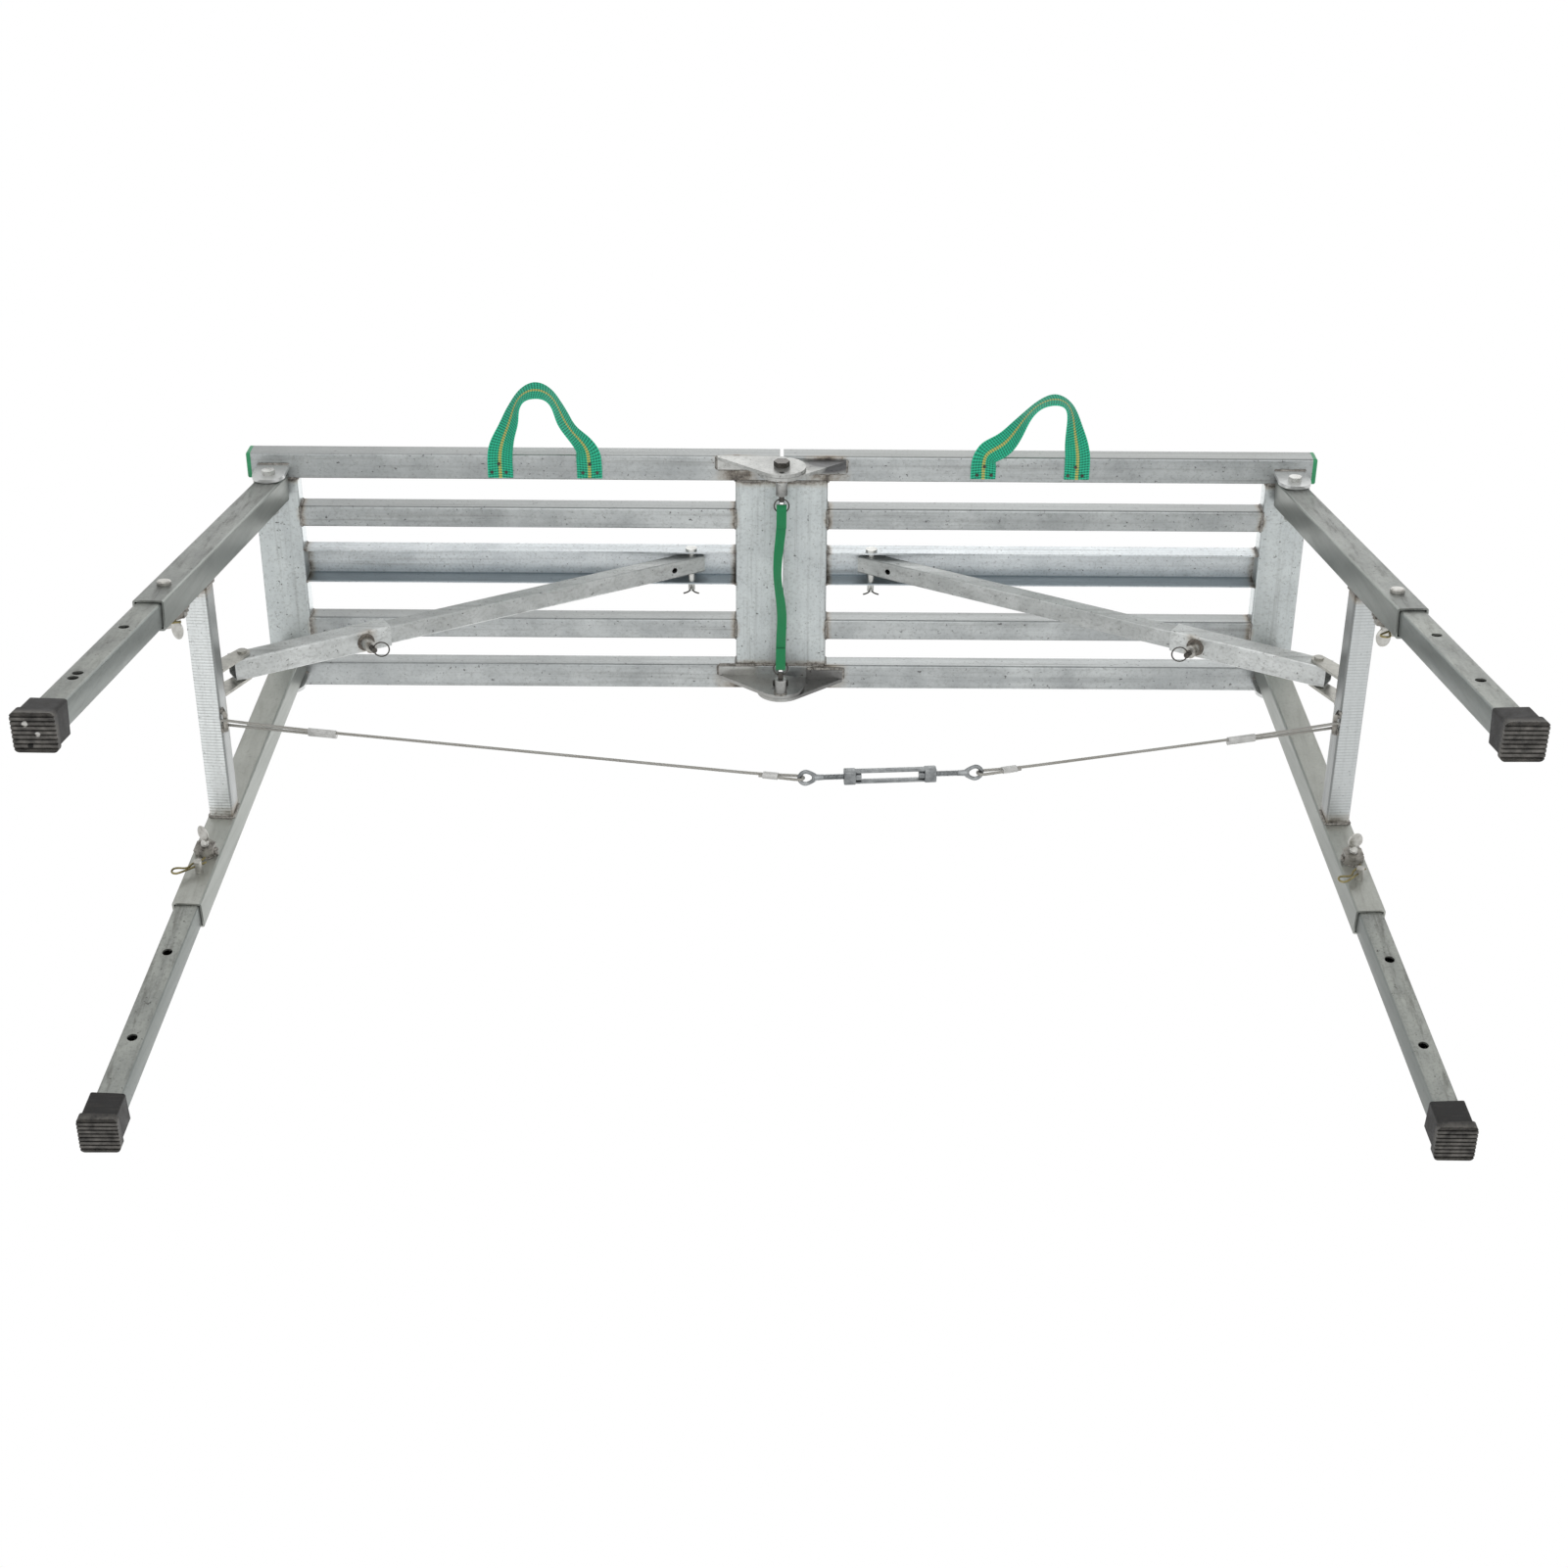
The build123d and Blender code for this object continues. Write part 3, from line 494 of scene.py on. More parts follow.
dark_steel = plain_plate("dark_steel", tone(96, 93, 88), tone(44, 42, 39), 0.65, 0.3, 160.0, 0.4)
nail_steel = plain_plate("nail_steel", tone(96, 92, 86), tone(50, 47, 44), 0.7, 0.4)


def bolt_finish():
    """Plated bolts and clevis pins, with the two hinge bolts darkened by their welds."""
    finish = Finish("bolt_zinc_and_black", metallic=0.85)
    coords = finish.place()
    clouds = finish.noise(coords, 90.0, 5.0, 0.65)
    plated = finish.clouded(clouds, tone(160, 160, 156), tone(222, 223, 220))
    black = finish.clouded(clouds, tone(46, 43, 40), tone(98, 94, 90))
    middle = finish.span(finish.near(finish.axis(coords, "X"), 0.0, 0.03), 0.1, 0.2)
    colour = finish.mix(middle, plated, black)
    rough = finish.span(clouds, 0.25, 0.75, 0.2, 0.4)
    return finish.done(colour, rough, finish.bump(clouds, 0.0004, 0.25))


# Places and radii of the nails in one worn sole, each with a painted highlight at its head, and of an empty
# nail hole painted in shade
nail_spots = ((-621.5, -213.9, 2.8), (-612.0, -204.6, 2.4))
empty_nail_hole = (-619.3, -193.9, 2.6)


def foot_rubber():
    finish = Finish("foot_rubber", specular_ior_level=0.35)
    coords = finish.place()
    height = finish.axis(coords, "Z")
    mottle = finish.noise(coords, 90.0, 5.0, 0.65)
    near_sole = finish.span(height, 0.0, 0.010, 1.0, 0.05)
    dust = finish.times(near_sole, finish.span(mottle, 0.3, 0.65))
    scuff = finish.span(finish.noise(finish.stretched(coords, (40, 420, 420)), 1.0, 4.0), 0.54, 0.7)

    def sole_spot(x, y, radius):
        middle = (("X", x), ("Y", y))
        away = [finish.sum("SUBTRACT", finish.axis(coords, way), centre * mm) for way, centre in middle]
        square = finish.sum("ADD", *(finish.times(way, way) for way in away))
        inside = finish.span(square, (radius * 0.0008) ** 2, (radius * mm) ** 2, 1.0, 0.0)
        return finish.times(inside, finish.span(height, 0.004, 0.006, 1.0, 0.0))

    colour = finish.mix(mottle, tone(20, 20, 21), tone(40, 39, 39))
    colour = finish.mix(finish.times(dust, 0.9), colour, tone(142, 139, 134))
    colour = finish.mix(finish.times(scuff, 0.3), colour, tone(84, 80, 76))
    # Painted highlight: near-white dots at the nail heads, partly their bright metal and partly their
    # reflection.
    for spot in nail_spots:
        colour = finish.mix(sole_spot(*spot), colour, tone(232, 231, 227))
    # Painted shade: a near-black dot for the empty nail hole.
    colour = finish.mix(sole_spot(*empty_nail_hole), colour, tone(6, 6, 6))
    rough = finish.span(mottle, 0.3, 0.7, 0.55, 0.8)
    return finish.done(colour, rough, finish.bump(finish.noise(coords, 700.0, 3.0), 0.0003, 0.4))


def cap_plastic():
    finish = Finish("cap_plastic", specular_ior_level=0.45)
    coords = finish.place()
    mottle = finish.noise(coords, 40.0, 4.0)
    scuff = finish.span(finish.noise(finish.stretched(coords, (60, 500, 60)), 1.0, 4.0), 0.6, 0.78)
    colour = finish.mix(mottle, tone(36, 140, 90), tone(66, 172, 118))
    colour = finish.mix(finish.times(scuff, 0.4), colour, tone(120, 178, 146))
    rough = finish.span(mottle, 0.3, 0.7, 0.38, 0.55)
    return finish.done(colour, rough, finish.bump(finish.noise(coords, 900.0, 2.0), 0.0002, 0.3))


def woven(name, deep, bright, stripe=None, pick=0.003, ends=9.0, sheen=0.1):
    """Webbing: the map runs across the width from 0 to 1 and along the length in metres."""
    finish = Finish(name, sheen_weight=sheen, sheen_roughness=0.5, specular_ior_level=0.3)
    coords = finish.place("UV")
    across = finish.axis(coords, "X")
    along = finish.axis(coords, "Y")
    wander = finish.noise(finish.place(), 45.0, 4.0)
    off_middle = finish.away(across, 0.5)
    lean = finish.times(off_middle, 0.0035)
    rib = finish.sum("SINE", finish.times(finish.sum("ADD", along, lean), 2 * pi / pick))
    yarn = finish.sum("SINE", finish.times(across, 2 * pi * ends))
    cloth = finish.sum("ADD", finish.times(rib, 0.65), finish.times(yarn, 0.35))
    # The colour follows the weave's relief: painted light on the ribs and painted shade between them, over
    # the yarn's own mottle.
    shade = finish.sum("ADD", finish.span(cloth, -0.9, 0.7, 0.0, 0.8), finish.times(wander, 0.25))
    colour = finish.mix(shade, deep, bright)
    if stripe:
        band = finish.near(across, 0.5, 0.1)
        picks = finish.span(rib, -0.5, 0.4, 0.25, 1.0)
        band = finish.times(finish.span(band, 0.25, 0.45), picks)
        colour = finish.mix(band, colour, stripe)
    edge = finish.span(off_middle, 0.44, 0.5)
    colour = finish.mix(finish.times(edge, 0.35), colour, bright)
    rough = finish.span(wander, 0.3, 0.7, 0.62, 0.85)
    return finish.done(colour, rough, finish.bump(cloth, 0.0005, 0.6))


def wire_strands():
    """Rope wire: the map's first number goes once round the six strands."""
    finish = Finish("rope_wire", metallic=0.75)
    coords = finish.place("UV")
    around = finish.times(finish.axis(coords, "X"), 6 * pi)
    lobe = finish.sum("ABSOLUTE", finish.sum("SINE", around))
    wires = finish.sum("SINE", finish.times(finish.axis(coords, "Y"), 2 * pi / 0.0011))
    tint = finish.noise(finish.place(), 30.0, 4.0)
    # Painted shade darkens the grooves between the strands.
    colour = finish.mix(finish.span(lobe, 0.1, 0.7), tone(78, 76, 72), tone(176, 175, 170))
    colour = finish.mix(finish.span(tint, 0.4, 0.8, 0.0, 0.4), colour, tone(136, 130, 118))
    rough = finish.span(tint, 0.3, 0.7, 0.36, 0.52)
    return finish.done(colour, rough, finish.bump(wires, 0.0002, 0.4))


rubber = foot_rubber()
green_plastic = cap_plastic()
handle_webbing = woven("handle_webbing", tone(2, 78, 60), tone(60, 220, 174), stripe=tone(222, 202, 104))
strap_ribbon = woven("strap_ribbon", tone(14, 112, 68), tone(44, 164, 104),
                     pick=0.0011, ends=14.0, sheen=0.2)
rope_wire = wire_strands()


def fitting_steel():
    """Zinc at the brace lugs, and steel darkened by welding at the nuts and the staple."""
    finish = Finish("fitting_steel", metallic=0.75)
    coords = finish.place()
    clouds = finish.noise(coords, 120.0, 5.0, 0.65)
    burnt = finish.clouded(clouds, tone(74, 70, 65), tone(170, 167, 160))
    plated = finish.clouded(clouds, tone(150, 149, 143), tone(192, 191, 184))
    lug = finish.span(finish.near(finish.axis(coords, "Y"), brace_row * mm, 0.022), 0.1, 0.2)
    bar_z = pivot_z - crossbar_at
    high = finish.span(finish.axis(coords, "Z"), (bar_z + 8) * mm, (bar_z + 14) * mm)
    colour = finish.mix(finish.times(lug, high), burnt, plated)
    rough = finish.span(clouds, 0.25, 0.75, 0.24, 0.46)
    return finish.done(colour, rough, finish.bump(clouds, 0.0005, 0.3))


dress = {"rails": rail_zinc, "slats": slat_zinc, "channel": channel_zinc, "cross_tubes": cross_zinc,
         "end_caps": green_plastic, "brackets": plate_zinc, "bolts": bolt_finish(),
         "handle_rivets": nail_steel, "leg_tubes": leg_zinc, "crossbar": crossbar_zinc,
         "leg_fittings": fitting_steel(), "brace_sleeve": brace_zinc, "brace_tube": brace_tube_zinc,
         "brace_plunger": dark_steel, "ferrules": ferrule_metal, "handle": handle_webbing,
         "rope": rope_wire, "inner_leg": inner_zinc, "foot": rubber, "lock_pin": pin_steel,
         "clip": yellow_zinc, "thumb_screw": bolt_zinc, "hinge_lock": dark_steel,
         "release_strap": strap_ribbon, "turnbuckle_eyes": turnbuckle_zinc,
         "turnbuckle_body": turnbuckle_zinc}


def dress_nodes():
    for name, node in nodes.items():
        part = max((part for part in dress if part in name), key=len)
        node.data.materials.clear()
        node.data.materials.append(dress[part])


# Camera at the photograph's angle
def set_camera():
    view = bpy.data.cameras.new("camera")
    view.lens = 56.2714
    view.sensor_width = 36.0
    view.clip_end = 60.0
    camera = bpy.data.objects.new("camera", view)
    show(camera)
    camera.location = (0.000981, -1.149358, -1.787913)
    camera.rotation_euler = (radians(151.0988), radians(-0.1047), radians(-0.3476))
    bpy.context.scene.camera = camera


# Wire rope
def rope_route(side):
    """The rope's points: round the staple, along the stretch and round the turnbuckle's eye."""
    sx = sides[side]
    start = frame_spot(sx, rope_rows[side], -16.0 - crossbar_at, 18.0)
    finish = eyes[side] + Vector((sx * 7.0, 0, 0))
    run = finish - start
    span = run.length
    one = run.normalized()
    two = (Vector((0, 1, 0)) - one * one.y).normalized()
    three = one.cross(two)
    if three.z < 0:
        three = -three
    spots = ((119, 3.4, 0), (13.5, 4.8, 3.8), (-4.5, 5, 4.5), (-4.5, -5, -4.5), (13.5, -4.1, -3.7),
             (91, 0, 0), (181, 0, 0), (span - 88, 0, 0), (span - 42, 0, 0), (span - 13.5, 0, 2.7),
             (span + 4.5, 0, 4.5), (span + 4.5, 0, -4.5), (span - 13.5, 0, -4), (span - 40, 0, -3.4))
    return [metres(start + one * a + two * b + three * c) for a, b, c in spots]


def read_spline(name, route):
    """Points along the smooth line that a route's points pull."""
    holder = pulled_line(name, route, 3, 220)
    mesh = bpy.data.meshes.new_from_object(holder)
    path = [v.co.copy() for v in mesh.vertices]
    bpy.data.objects.remove(holder)
    bpy.data.meshes.remove(mesh)
    return path


def thinned(path, step):
    """Drops points that lie closer together than a step, and keeps the two ends."""
    kept = [path[0]]
    for point in path[1:-1]:
        if (point - kept[-1]).length >= step and (path[-1] - point).length >= step:
            kept.append(point)
    return kept + [path[-1]]


def lay_rope(side, lay=0.021, radius=rope_thickness / 2):
    path = thinned(read_spline(side + "_rope_line", rope_route(side)), 0.0013)
    outline = [(2 * pi * i / 18, radius * (0.84 if i % 3 == 0 else 1.0)) for i in range(18)]
    corners = []
    rounds = []
    length = 0.0
    upright = Vector((0.2, 0.3, 0.9))
    for index, point in enumerate(path):
        ahead = path[min(index + 1, len(path) - 1)] - path[max(index - 1, 0)]
        upright = (upright - ahead * (upright.dot(ahead) / ahead.length_squared)).normalized()
        across = ahead.normalized().cross(upright)
        length += (point - path[max(index - 1, 0)]).length
        rounds.append(length)
        for angle, reach in outline:
            turn = angle + 2 * pi * length / lay
            corners.append(point + (across * cos(turn) + upright * sin(turn)) * reach)
    count = len(outline)
    faces = []
    end = (len(path) - 1) * count
    for here in range(0, end, count):
        for i in range(count):
            j = (i + 1) % count
            faces.append((here + i, here + j, here + count + j, here + count + i))
    faces.append(tuple(range(count - 1, -1, -1)))
    faces.append(tuple(range(end, end + count)))
    rope = from_grid(side + "_wire_rope", corners, faces)
    weave = rope.data.uv_layers.new(name="lay")
    for face in rope.data.polygons:
        closing = any(corner % count == count - 1 for corner in face.vertices)
        for loop in face.loop_indices:
            ring, i = divmod(rope.data.loops[loop].vertex_index, count)
            weave.data[loop].uv = (1.0 if closing and i == 0 else i / count, rounds[ring])
    smooth(rope, 60)
    hand_over(rope, side + "_rope", rope_wire, "wire_rope", side + "_rope")
    return rope, path, length


# Webbing
def weave_ribbon(name, stations, width, thickness):
    """A band of webbing through stations in millimetres, each a middle point and the way across."""
    columns = (-0.5, -0.25, 0.0, 0.25, 0.5)
    middles = [metres(middle) for middle, across in stations]
    ways = [Vector(across) for middle, across in stations]
    corners = []
    lengths = [0.0]
    for index, (middle, way) in enumerate(zip(middles, ways)):
        ahead = middles[min(index + 1, len(middles) - 1)] - middles[max(index - 1, 0)]
        way = (way - ahead * (way.dot(ahead) / ahead.length_squared)).normalized()
        corners += [middle + way * (width * c) for c in columns]
        if index:
            lengths.append(lengths[-1] + (middle - middles[index - 1]).length)
    wide = len(columns)
    faces = [(r * wide + c, r * wide + c + 1, (r + 1) * wide + c + 1, (r + 1) * wide + c)
             for r in range(len(stations) - 1) for c in range(wide - 1)]
    ribbon = from_grid(name, corners, faces)
    weave = ribbon.data.uv_layers.new(name="weave")
    for loop in ribbon.data.loops:
        row, column = divmod(loop.vertex_index, wide)
        weave.data[loop.index].uv = (column / (wide - 1), lengths[row])
    work(ribbon, "SUBSURF", levels=3, render_levels=3, boundary_smooth="PRESERVE_CORNERS")
    work(ribbon, "SOLIDIFY", thickness=thickness, offset=0.0)
    return smooth(ribbon, 50), lengths[-1]


# Each handle's place along the rail, and its stations: along, out and up, then the way across
handle_stations = {
    "left": (-265.7, (
        (-50, -27, -1, 1, 0, 0), (-50, -14, -1, 1, 0, 0), (-50, -3, -1, 1, 0, 0),
        (-48, 11, -1.5, 1, 0.05, -0.09), (-41, 28, -1, 0.73, 0.43, -0.53), (-35, 43, 0, 0.7, 0.17, -0.7),
        (-31, 57, 2, 0.47, 0.34, -0.82), (-23, 70, 3, 0.11, -0.21, -0.97), (-8, 76, 4, 0.04, -0.42, -0.91),
        (7, 71, 3, -0.03, -0.17, -0.99), (15.5, 59, 2, -0.17, 0.04, -0.98), (22, 42, 0, -0.54, 0.3, -0.78),
        (31, 27, -1, -0.48, 0.32, -0.82), (44, 14, -1.5, -0.72, 0.47, -0.52), (49, 3, -1, -1, 0.05, -0.1),
        (49.5, -5, -1, -1, 0, 0), (50, -14, -1, -1, 0, 0), (50, -27, -1, -1, 0, 0))),
    "right": (278.0, (
        (-52, -25, -1, 1, 0, 0), (-52, -14, -1, 1, 0, 0), (-52, -3, -1, 1, 0, 0),
        (-49, 7, -1.5, 0.9, 0.32, -0.17), (-30, 15, -2, 0.89, 0.06, -0.44), (-17, 33, -1, 0.67, 0.36, -0.65),
        (-7, 48, 1, 0.36, 0.36, -0.86), (6, 62, 3, 0.13, 0.18, -0.97), (24, 69, 4, -0.18, -0.13, -0.97),
        (38, 64, 3, -0.16, 0.03, -0.99), (44, 52, 1, -0.49, 0.46, -0.74), (46.5, 35, -1, -0.68, 0.35, -0.64),
        (50, 18, -1.5, -0.92, 0.27, -0.3), (52.5, 5, -1.5, -1, 0, -0.05), (53, -4, -1, -1, 0, 0),
        (53, -14, -1, -1, 0, 0), (53, -25, -1, -1, 0, 0)))}


def make_handle(side):
    middle, stations = handle_stations[side]
    placed = [((middle + u, -rail_face - v, under_z + w), (a, -b, c)) for u, v, w, a, b, c in stations]
    handle, length = weave_ribbon(side + "_carry_handle", placed, handle_width, 0.0016)
    hand_over(handle, "deck_" + side, handle_webbing, "webbing", side + "_handle")


def make_strap():
    """The release strap: a lapped loop round each pull ring and a slack run between."""
    front = -97.8
    back = 86.6
    flat = (1, 0, 0)
    loop = ((18, -1.2), (4, -2.2), (-5, -2.6), (-8.6, -2.0), (-9.8, 0), (-8.6, 2.0), (-5, 2.6), (4, 2.0),
            (18, 0.9))
    slack = ((-2.5, 40, -0.5, 0.95, 0.3), (-4.5, 62, -2.5, 0.85, 0.5), (-4.0, 84, -4.5, 0.7, 0.7),
             (-0.5, 104, -4.0, 0.85, 0.5), (1.5, 126, -2.0, 0.97, 0.2), (0.5, 148, -0.5, 1, -0.15))
    stations = [((0, front + y, lock_z + z), flat) for y, z in loop]
    stations += [((x, front + y, lock_z + z), (a, 0, c)) for x, y, z, a, c in slack]
    stations += [((0, back - y, lock_z + z), flat) for y, z in reversed(loop)]
    strap, length = weave_ribbon("hinge_release_strap", stations, strap_width, 0.0009)
    hand_over(strap, None, strap_ribbon, "webbing", "release_strap")
    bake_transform(strap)


# Weld beads
seam_half = 11


def bead_shape():
    bead = basic(bpy.ops.mesh.primitive_uv_sphere_add, "bead", segments=8, ring_count=6, radius=1.0)
    bpy.ops.object.mode_set(mode="EDIT")
    bpy.ops.transform.rotate(value=radians(90), orient_axis="Y", center_override=(0, 0, 0))
    bpy.ops.transform.vertex_random(offset=0.08, seed=3)
    bpy.ops.object.mode_set(mode="OBJECT")
    return bead


def bead_at(point, along, size, flat=1.0):
    up = Vector((chance.uniform(-0.2, 0.2), chance.uniform(-0.2, 0.2), 1.0)).normalized()
    if abs(Vector(along).normalized().dot(up)) > 0.9:
        up = along_y
    place = turned_to(metres(point), along, up)
    girth = size * mm * chance.uniform(0.85, 1.15)
    return place @ Matrix.Diagonal((girth * 0.95, girth, girth * flat * chance.uniform(0.8, 1.1), 1.0))


def bead_line(start, end, size=1.9, flat=1.0):
    start = Vector(start)
    run = Vector(end) - start
    count = max(2, round(run.length / (size * 0.95)))
    places = []
    for i in range(count):
        share = (i + chance.uniform(0.35, 0.65)) / count
        places.append(bead_at(start + run * share, run, size, flat))
    return places


def bead_ring(centre, axis, radius, size=1.8):
    axis = Vector(axis).normalized()
    one = axis.orthogonal().normalized()
    two = axis.cross(one)
    count = round(2 * pi * radius / size)
    places = []
    for i in range(count):
        angle = 2 * pi * i / count
        out = one * cos(angle) + two * sin(angle)
        places.append(bead_at(Vector(centre) + out * radius, axis.cross(out), size))
    return places


def deck_seams(sx):
    seams = []
    low = under_z + 2
    high = under_z + 22
    for x in (near_x, far_x):
        for y in slat_rows:
            start = (sx * x, y - seam_half, under_z + 0.4)
            seams += bead_line(start, (sx * x, y + seam_half, under_z + 0.4), 1.7, 0.7)
            for edge in (-slat_half, slat_half):
                seams += bead_line((sx * x, y + edge, low), (sx * x, y + edge, high), 1.8)
        for y in channel_walls:
            seams += bead_line((sx * x, y, under_z + 1), (sx * x, y, high), 2.0)
    for y in (-rail_inner, rail_inner):
        inner = y - 0.6 if y > 0 else y + 0.6
        for first, last, edge in ((gap_x + 2, near_x - 2, near_x), (far_x + 2, rail_end - 3, far_x)):
            seams += bead_line((sx * first, y, under_z + 0.5), (sx * last, y, under_z + 0.5), 1.6, 0.7)
            seams += bead_line((sx * edge, inner, low), (sx * edge, inner, high), 1.7)
    for row, sy in rows.items():
        face = plate_rows[row] + (0 if sx < 0 else plate_step)
        strip = face + strip_reach[row]
        under = under_z - 0.8
        seams += bead_line((sx * strip_near, strip, under), (sx * strip_far, strip, under), 2.7)
        seams += bead_line((sx * strip_end, face + 1, under), (sx * strip_end, strip, under), 2.4)
        for y in ear_faces:
            start = (sx * (pivot_x - ear_half), sy * y, under_z - 0.6)
            seams += bead_line(start, (sx * (pivot_x + ear_half), sy * y, under_z - 0.6), 1.8)
        if sx * sy < 0:
            seams += bead_ring((0, face + sleeve_reach[row], lock_z), along_y, 6.7, 1.4)
    return seams


def frame_seams(side, sx):
    seams = []
    high = crossbar_at - crossbar_half
    low = crossbar_at + crossbar_half

    def bar_end(sy, below, up, inward):
        row = leg_row + below * tan(splay_y) - outer_half / cos(splay_y) - 0.5
        return frame_spot(sx, sy * row, up, inward)

    for sy in rows.values():
        for n in (-crossbar_half, crossbar_half):
            seams += bead_line(bar_end(sy, high, -high - 1, n), bar_end(sy, low, -low + 1, n), 2.1)
        for below in (high, low):
            start = bar_end(sy, below, -below, -seam_half)
            seams += bead_line(start, bar_end(sy, below, -below, seam_half), 2.0)
        down, out = leg_axes(sx, sy)
        beside = out.cross(down)
        centre = leg_spot(sx, sy, screw_at, -outer_half - 1.5)
        for turn in (-1, 1):
            for k in range(5):
                shift = beside * (turn * (9.3 + 0.5 * k)) + down * chance.uniform(-3, 3)
                shift -= out * chance.uniform(0, 4)
                seams.append(bead_at(centre + shift, out, 2.2))
        seams += bead_ring(centre + out * 1.2, out, 9.6, 1.3)
    for turn in (-1, 1):
        y = brace_row + turn * 15.6
        start = frame_spot(sx, y, -high + 0.4, -seam_half)
        seams += bead_line(start, frame_spot(sx, y, -high + 0.4, seam_half), 2.0)
        y = rope_rows[side] + turn * 10.0
        for _ in range(6):
            across = y + chance.uniform(-2.5, 2.5)
            up = -low + chance.uniform(-0.5, 5)
            inward = 12.0 + chance.uniform(0, 1.5)
            seams.append(bead_at(frame_spot(sx, across, up, inward), along_y, 2.4))
    return seams


def lay_welds():
    bead = bead_shape()

    def lay(name, seams, body, finish, slot):
        smooth(hand_over(copies(name, bead, seams), body, finish, slot), 60)

    for side, sx in sides.items():
        lay(side + "_deck_welds", deck_seams(sx), "deck_" + side, weld_steel, "zinc_rail")
        seams = frame_seams(side, sx)
        lay(side + "_leg_frame_welds", seams, side + "_leg_frame", weld_steel, "dark_steel")
        foot, run, lower = brace_axes(sx)
        seams = bead_ring(foot + run * boss_at + lower * 12.4, lower, 6.8, 1.9)
        seams += bead_ring(foot + run * boss_at + lower * 12.2, lower, 8.2, 1.6)
        lay(side + "_boss_weld", seams, side + "_brace_sleeve", burnt_steel, "dark_steel")
    bpy.data.objects.remove(bead)


# Wire clips through the lock pins
def wire(name, route, radius):
    """A bent wire along a route in millimetres."""
    holder = pulled_line(name, [metres(place) for place in route], 4, 6)
    holder.data.bevel_depth = radius * mm
    holder.data.bevel_resolution = 3
    holder.data.use_fill_caps = True
    only(holder)
    bpy.ops.object.convert(target="MESH")
    return added(name)


def make_clip(side, row):
    sx = sides[side]
    sy = rows[row]
    down, out = leg_axes(sx, sy)
    beside = out.cross(down) * sy
    one = down * cos(radians(50)) + beside * sin(radians(50))
    two = out.cross(one)
    centre = leg_spot(sx, sy, pin_at, -outer_half - 8.0)
    spots = ((-9, 0), (-4, 0), (4, 0), (11, 0), (17, 0), (24.5, 0.3), (27.5, 5), (24, 10.5), (18.5, 9),
             (14.5, 4.4), (11, 2.8), (8, 3.2), (5, 5.7), (0, 6.2), (-5, 5.6), (-8, 6.1), (-11, 7.8))
    name = "clip_" + side + "_" + row
    clip = wire("wire_" + name, [centre + one * a + two * b for a, b in spots], 1.1)
    hand_over(smooth(clip, 50), name, yellow_zinc, "yellow_zinc", name)


# Eye screws of the turnbuckle
def threaded_rod(name, start, end, radius=0.003, pitch=0.00125):
    """A rod with a cut thread along its own first axis, from start to end in metres."""
    core = basic(bpy.ops.mesh.primitive_cylinder_add, name, vertices=20, radius=radius * 0.84,
                 depth=end - start, location=((start + end) / 2, 0, 0), rotation=(0, pi / 2, 0))
    settle(core)
    work(core, "BEVEL", width=0.0006, segments=1)
    root = radius * 0.78
    ridge = [(0, root, 0), (pitch * 0.45, radius, 0), (pitch * 0.9, root, 0)]
    thread = from_grid(name + "_thread", ridge, [], [(0, 1), (1, 2), (2, 0)])
    turns = int((end - start) / pitch) - 1
    work(thread, "SCREW", axis="X", angle=2 * pi, screw_offset=pitch, iterations=turns,
         steps=16, render_steps=16)
    thread.data.transform(Matrix.Translation((start + pitch * 0.5, 0, 0)))
    only(thread)
    bpy.ops.object.mode_set(mode="EDIT")
    bpy.ops.mesh.select_all(action="SELECT")
    bpy.ops.mesh.fill_holes(sides=4)
    bpy.ops.mesh.normals_make_consistent(inside=False)
    bpy.ops.object.mode_set(mode="OBJECT")
    return weld_up(name, [core, thread])


def screw_eye(name, centre, reach):
    """A flat drop-shaped eye whose shank points along the first axis, reach being its sign."""
    eye = basic(bpy.ops.mesh.primitive_torus_add, name, major_segments=40, minor_segments=12,
                major_radius=0.0068, minor_radius=0.0021, location=(0, 0, 0))
    outer_radius = 0.0089
    drawn_out = 0.0035
    drawn_in = 0.22
    for corner in eye.data.vertices:
        x = corner.co.x * reach
        if x > 0:
            pull = x / outer_radius
            corner.co.x += reach * drawn_out * pull * pull
            corner.co.y *= 1 - drawn_in * pull
        corner.co.z *= 0.92
    eye.data.transform(Matrix.Translation((centre, 0, 0)))
    return smooth(eye, 60)


def make_eye_screws():
    run = eyes["right"] - eyes["left"]
    span = run.length * mm
    parts = [screw_eye("left_eye", 0.0, 1), screw_eye("right_eye", span, -1),
             threaded_rod("left_rod", 0.0105, 0.0545), threaded_rod("right_rod", 0.1115, span - 0.0105)]
    for place, reach in ((0.0, 1), (span, -1)):
        neck = basic(bpy.ops.mesh.primitive_cone_add, "neck", vertices=20, radius1=0.0034, radius2=0.0028,
                     depth=0.009, location=(place + reach * 0.0125, 0, 0), rotation=(0, reach * pi / 2, 0))
        parts.append(smooth(settle(neck)))
    screws = weld_up("turnbuckle_eye_screws", parts)
    settle(screws, turned_to(metres(eyes["left"]), run, upward))
    hand_over(smooth(screws, 40), "left_rope", turnbuckle_zinc, "bolt_zinc", "turnbuckle_eyes")


def block(name, centre, size, ease):
    """A block with eased edges."""
    piece = basic(bpy.ops.mesh.primitive_cube_add, name, size=1.0)
    piece.scale = metres(size)
    piece.location = metres(centre)
    return work(settle(piece), "BEVEL", width=ease * mm, segments=2)


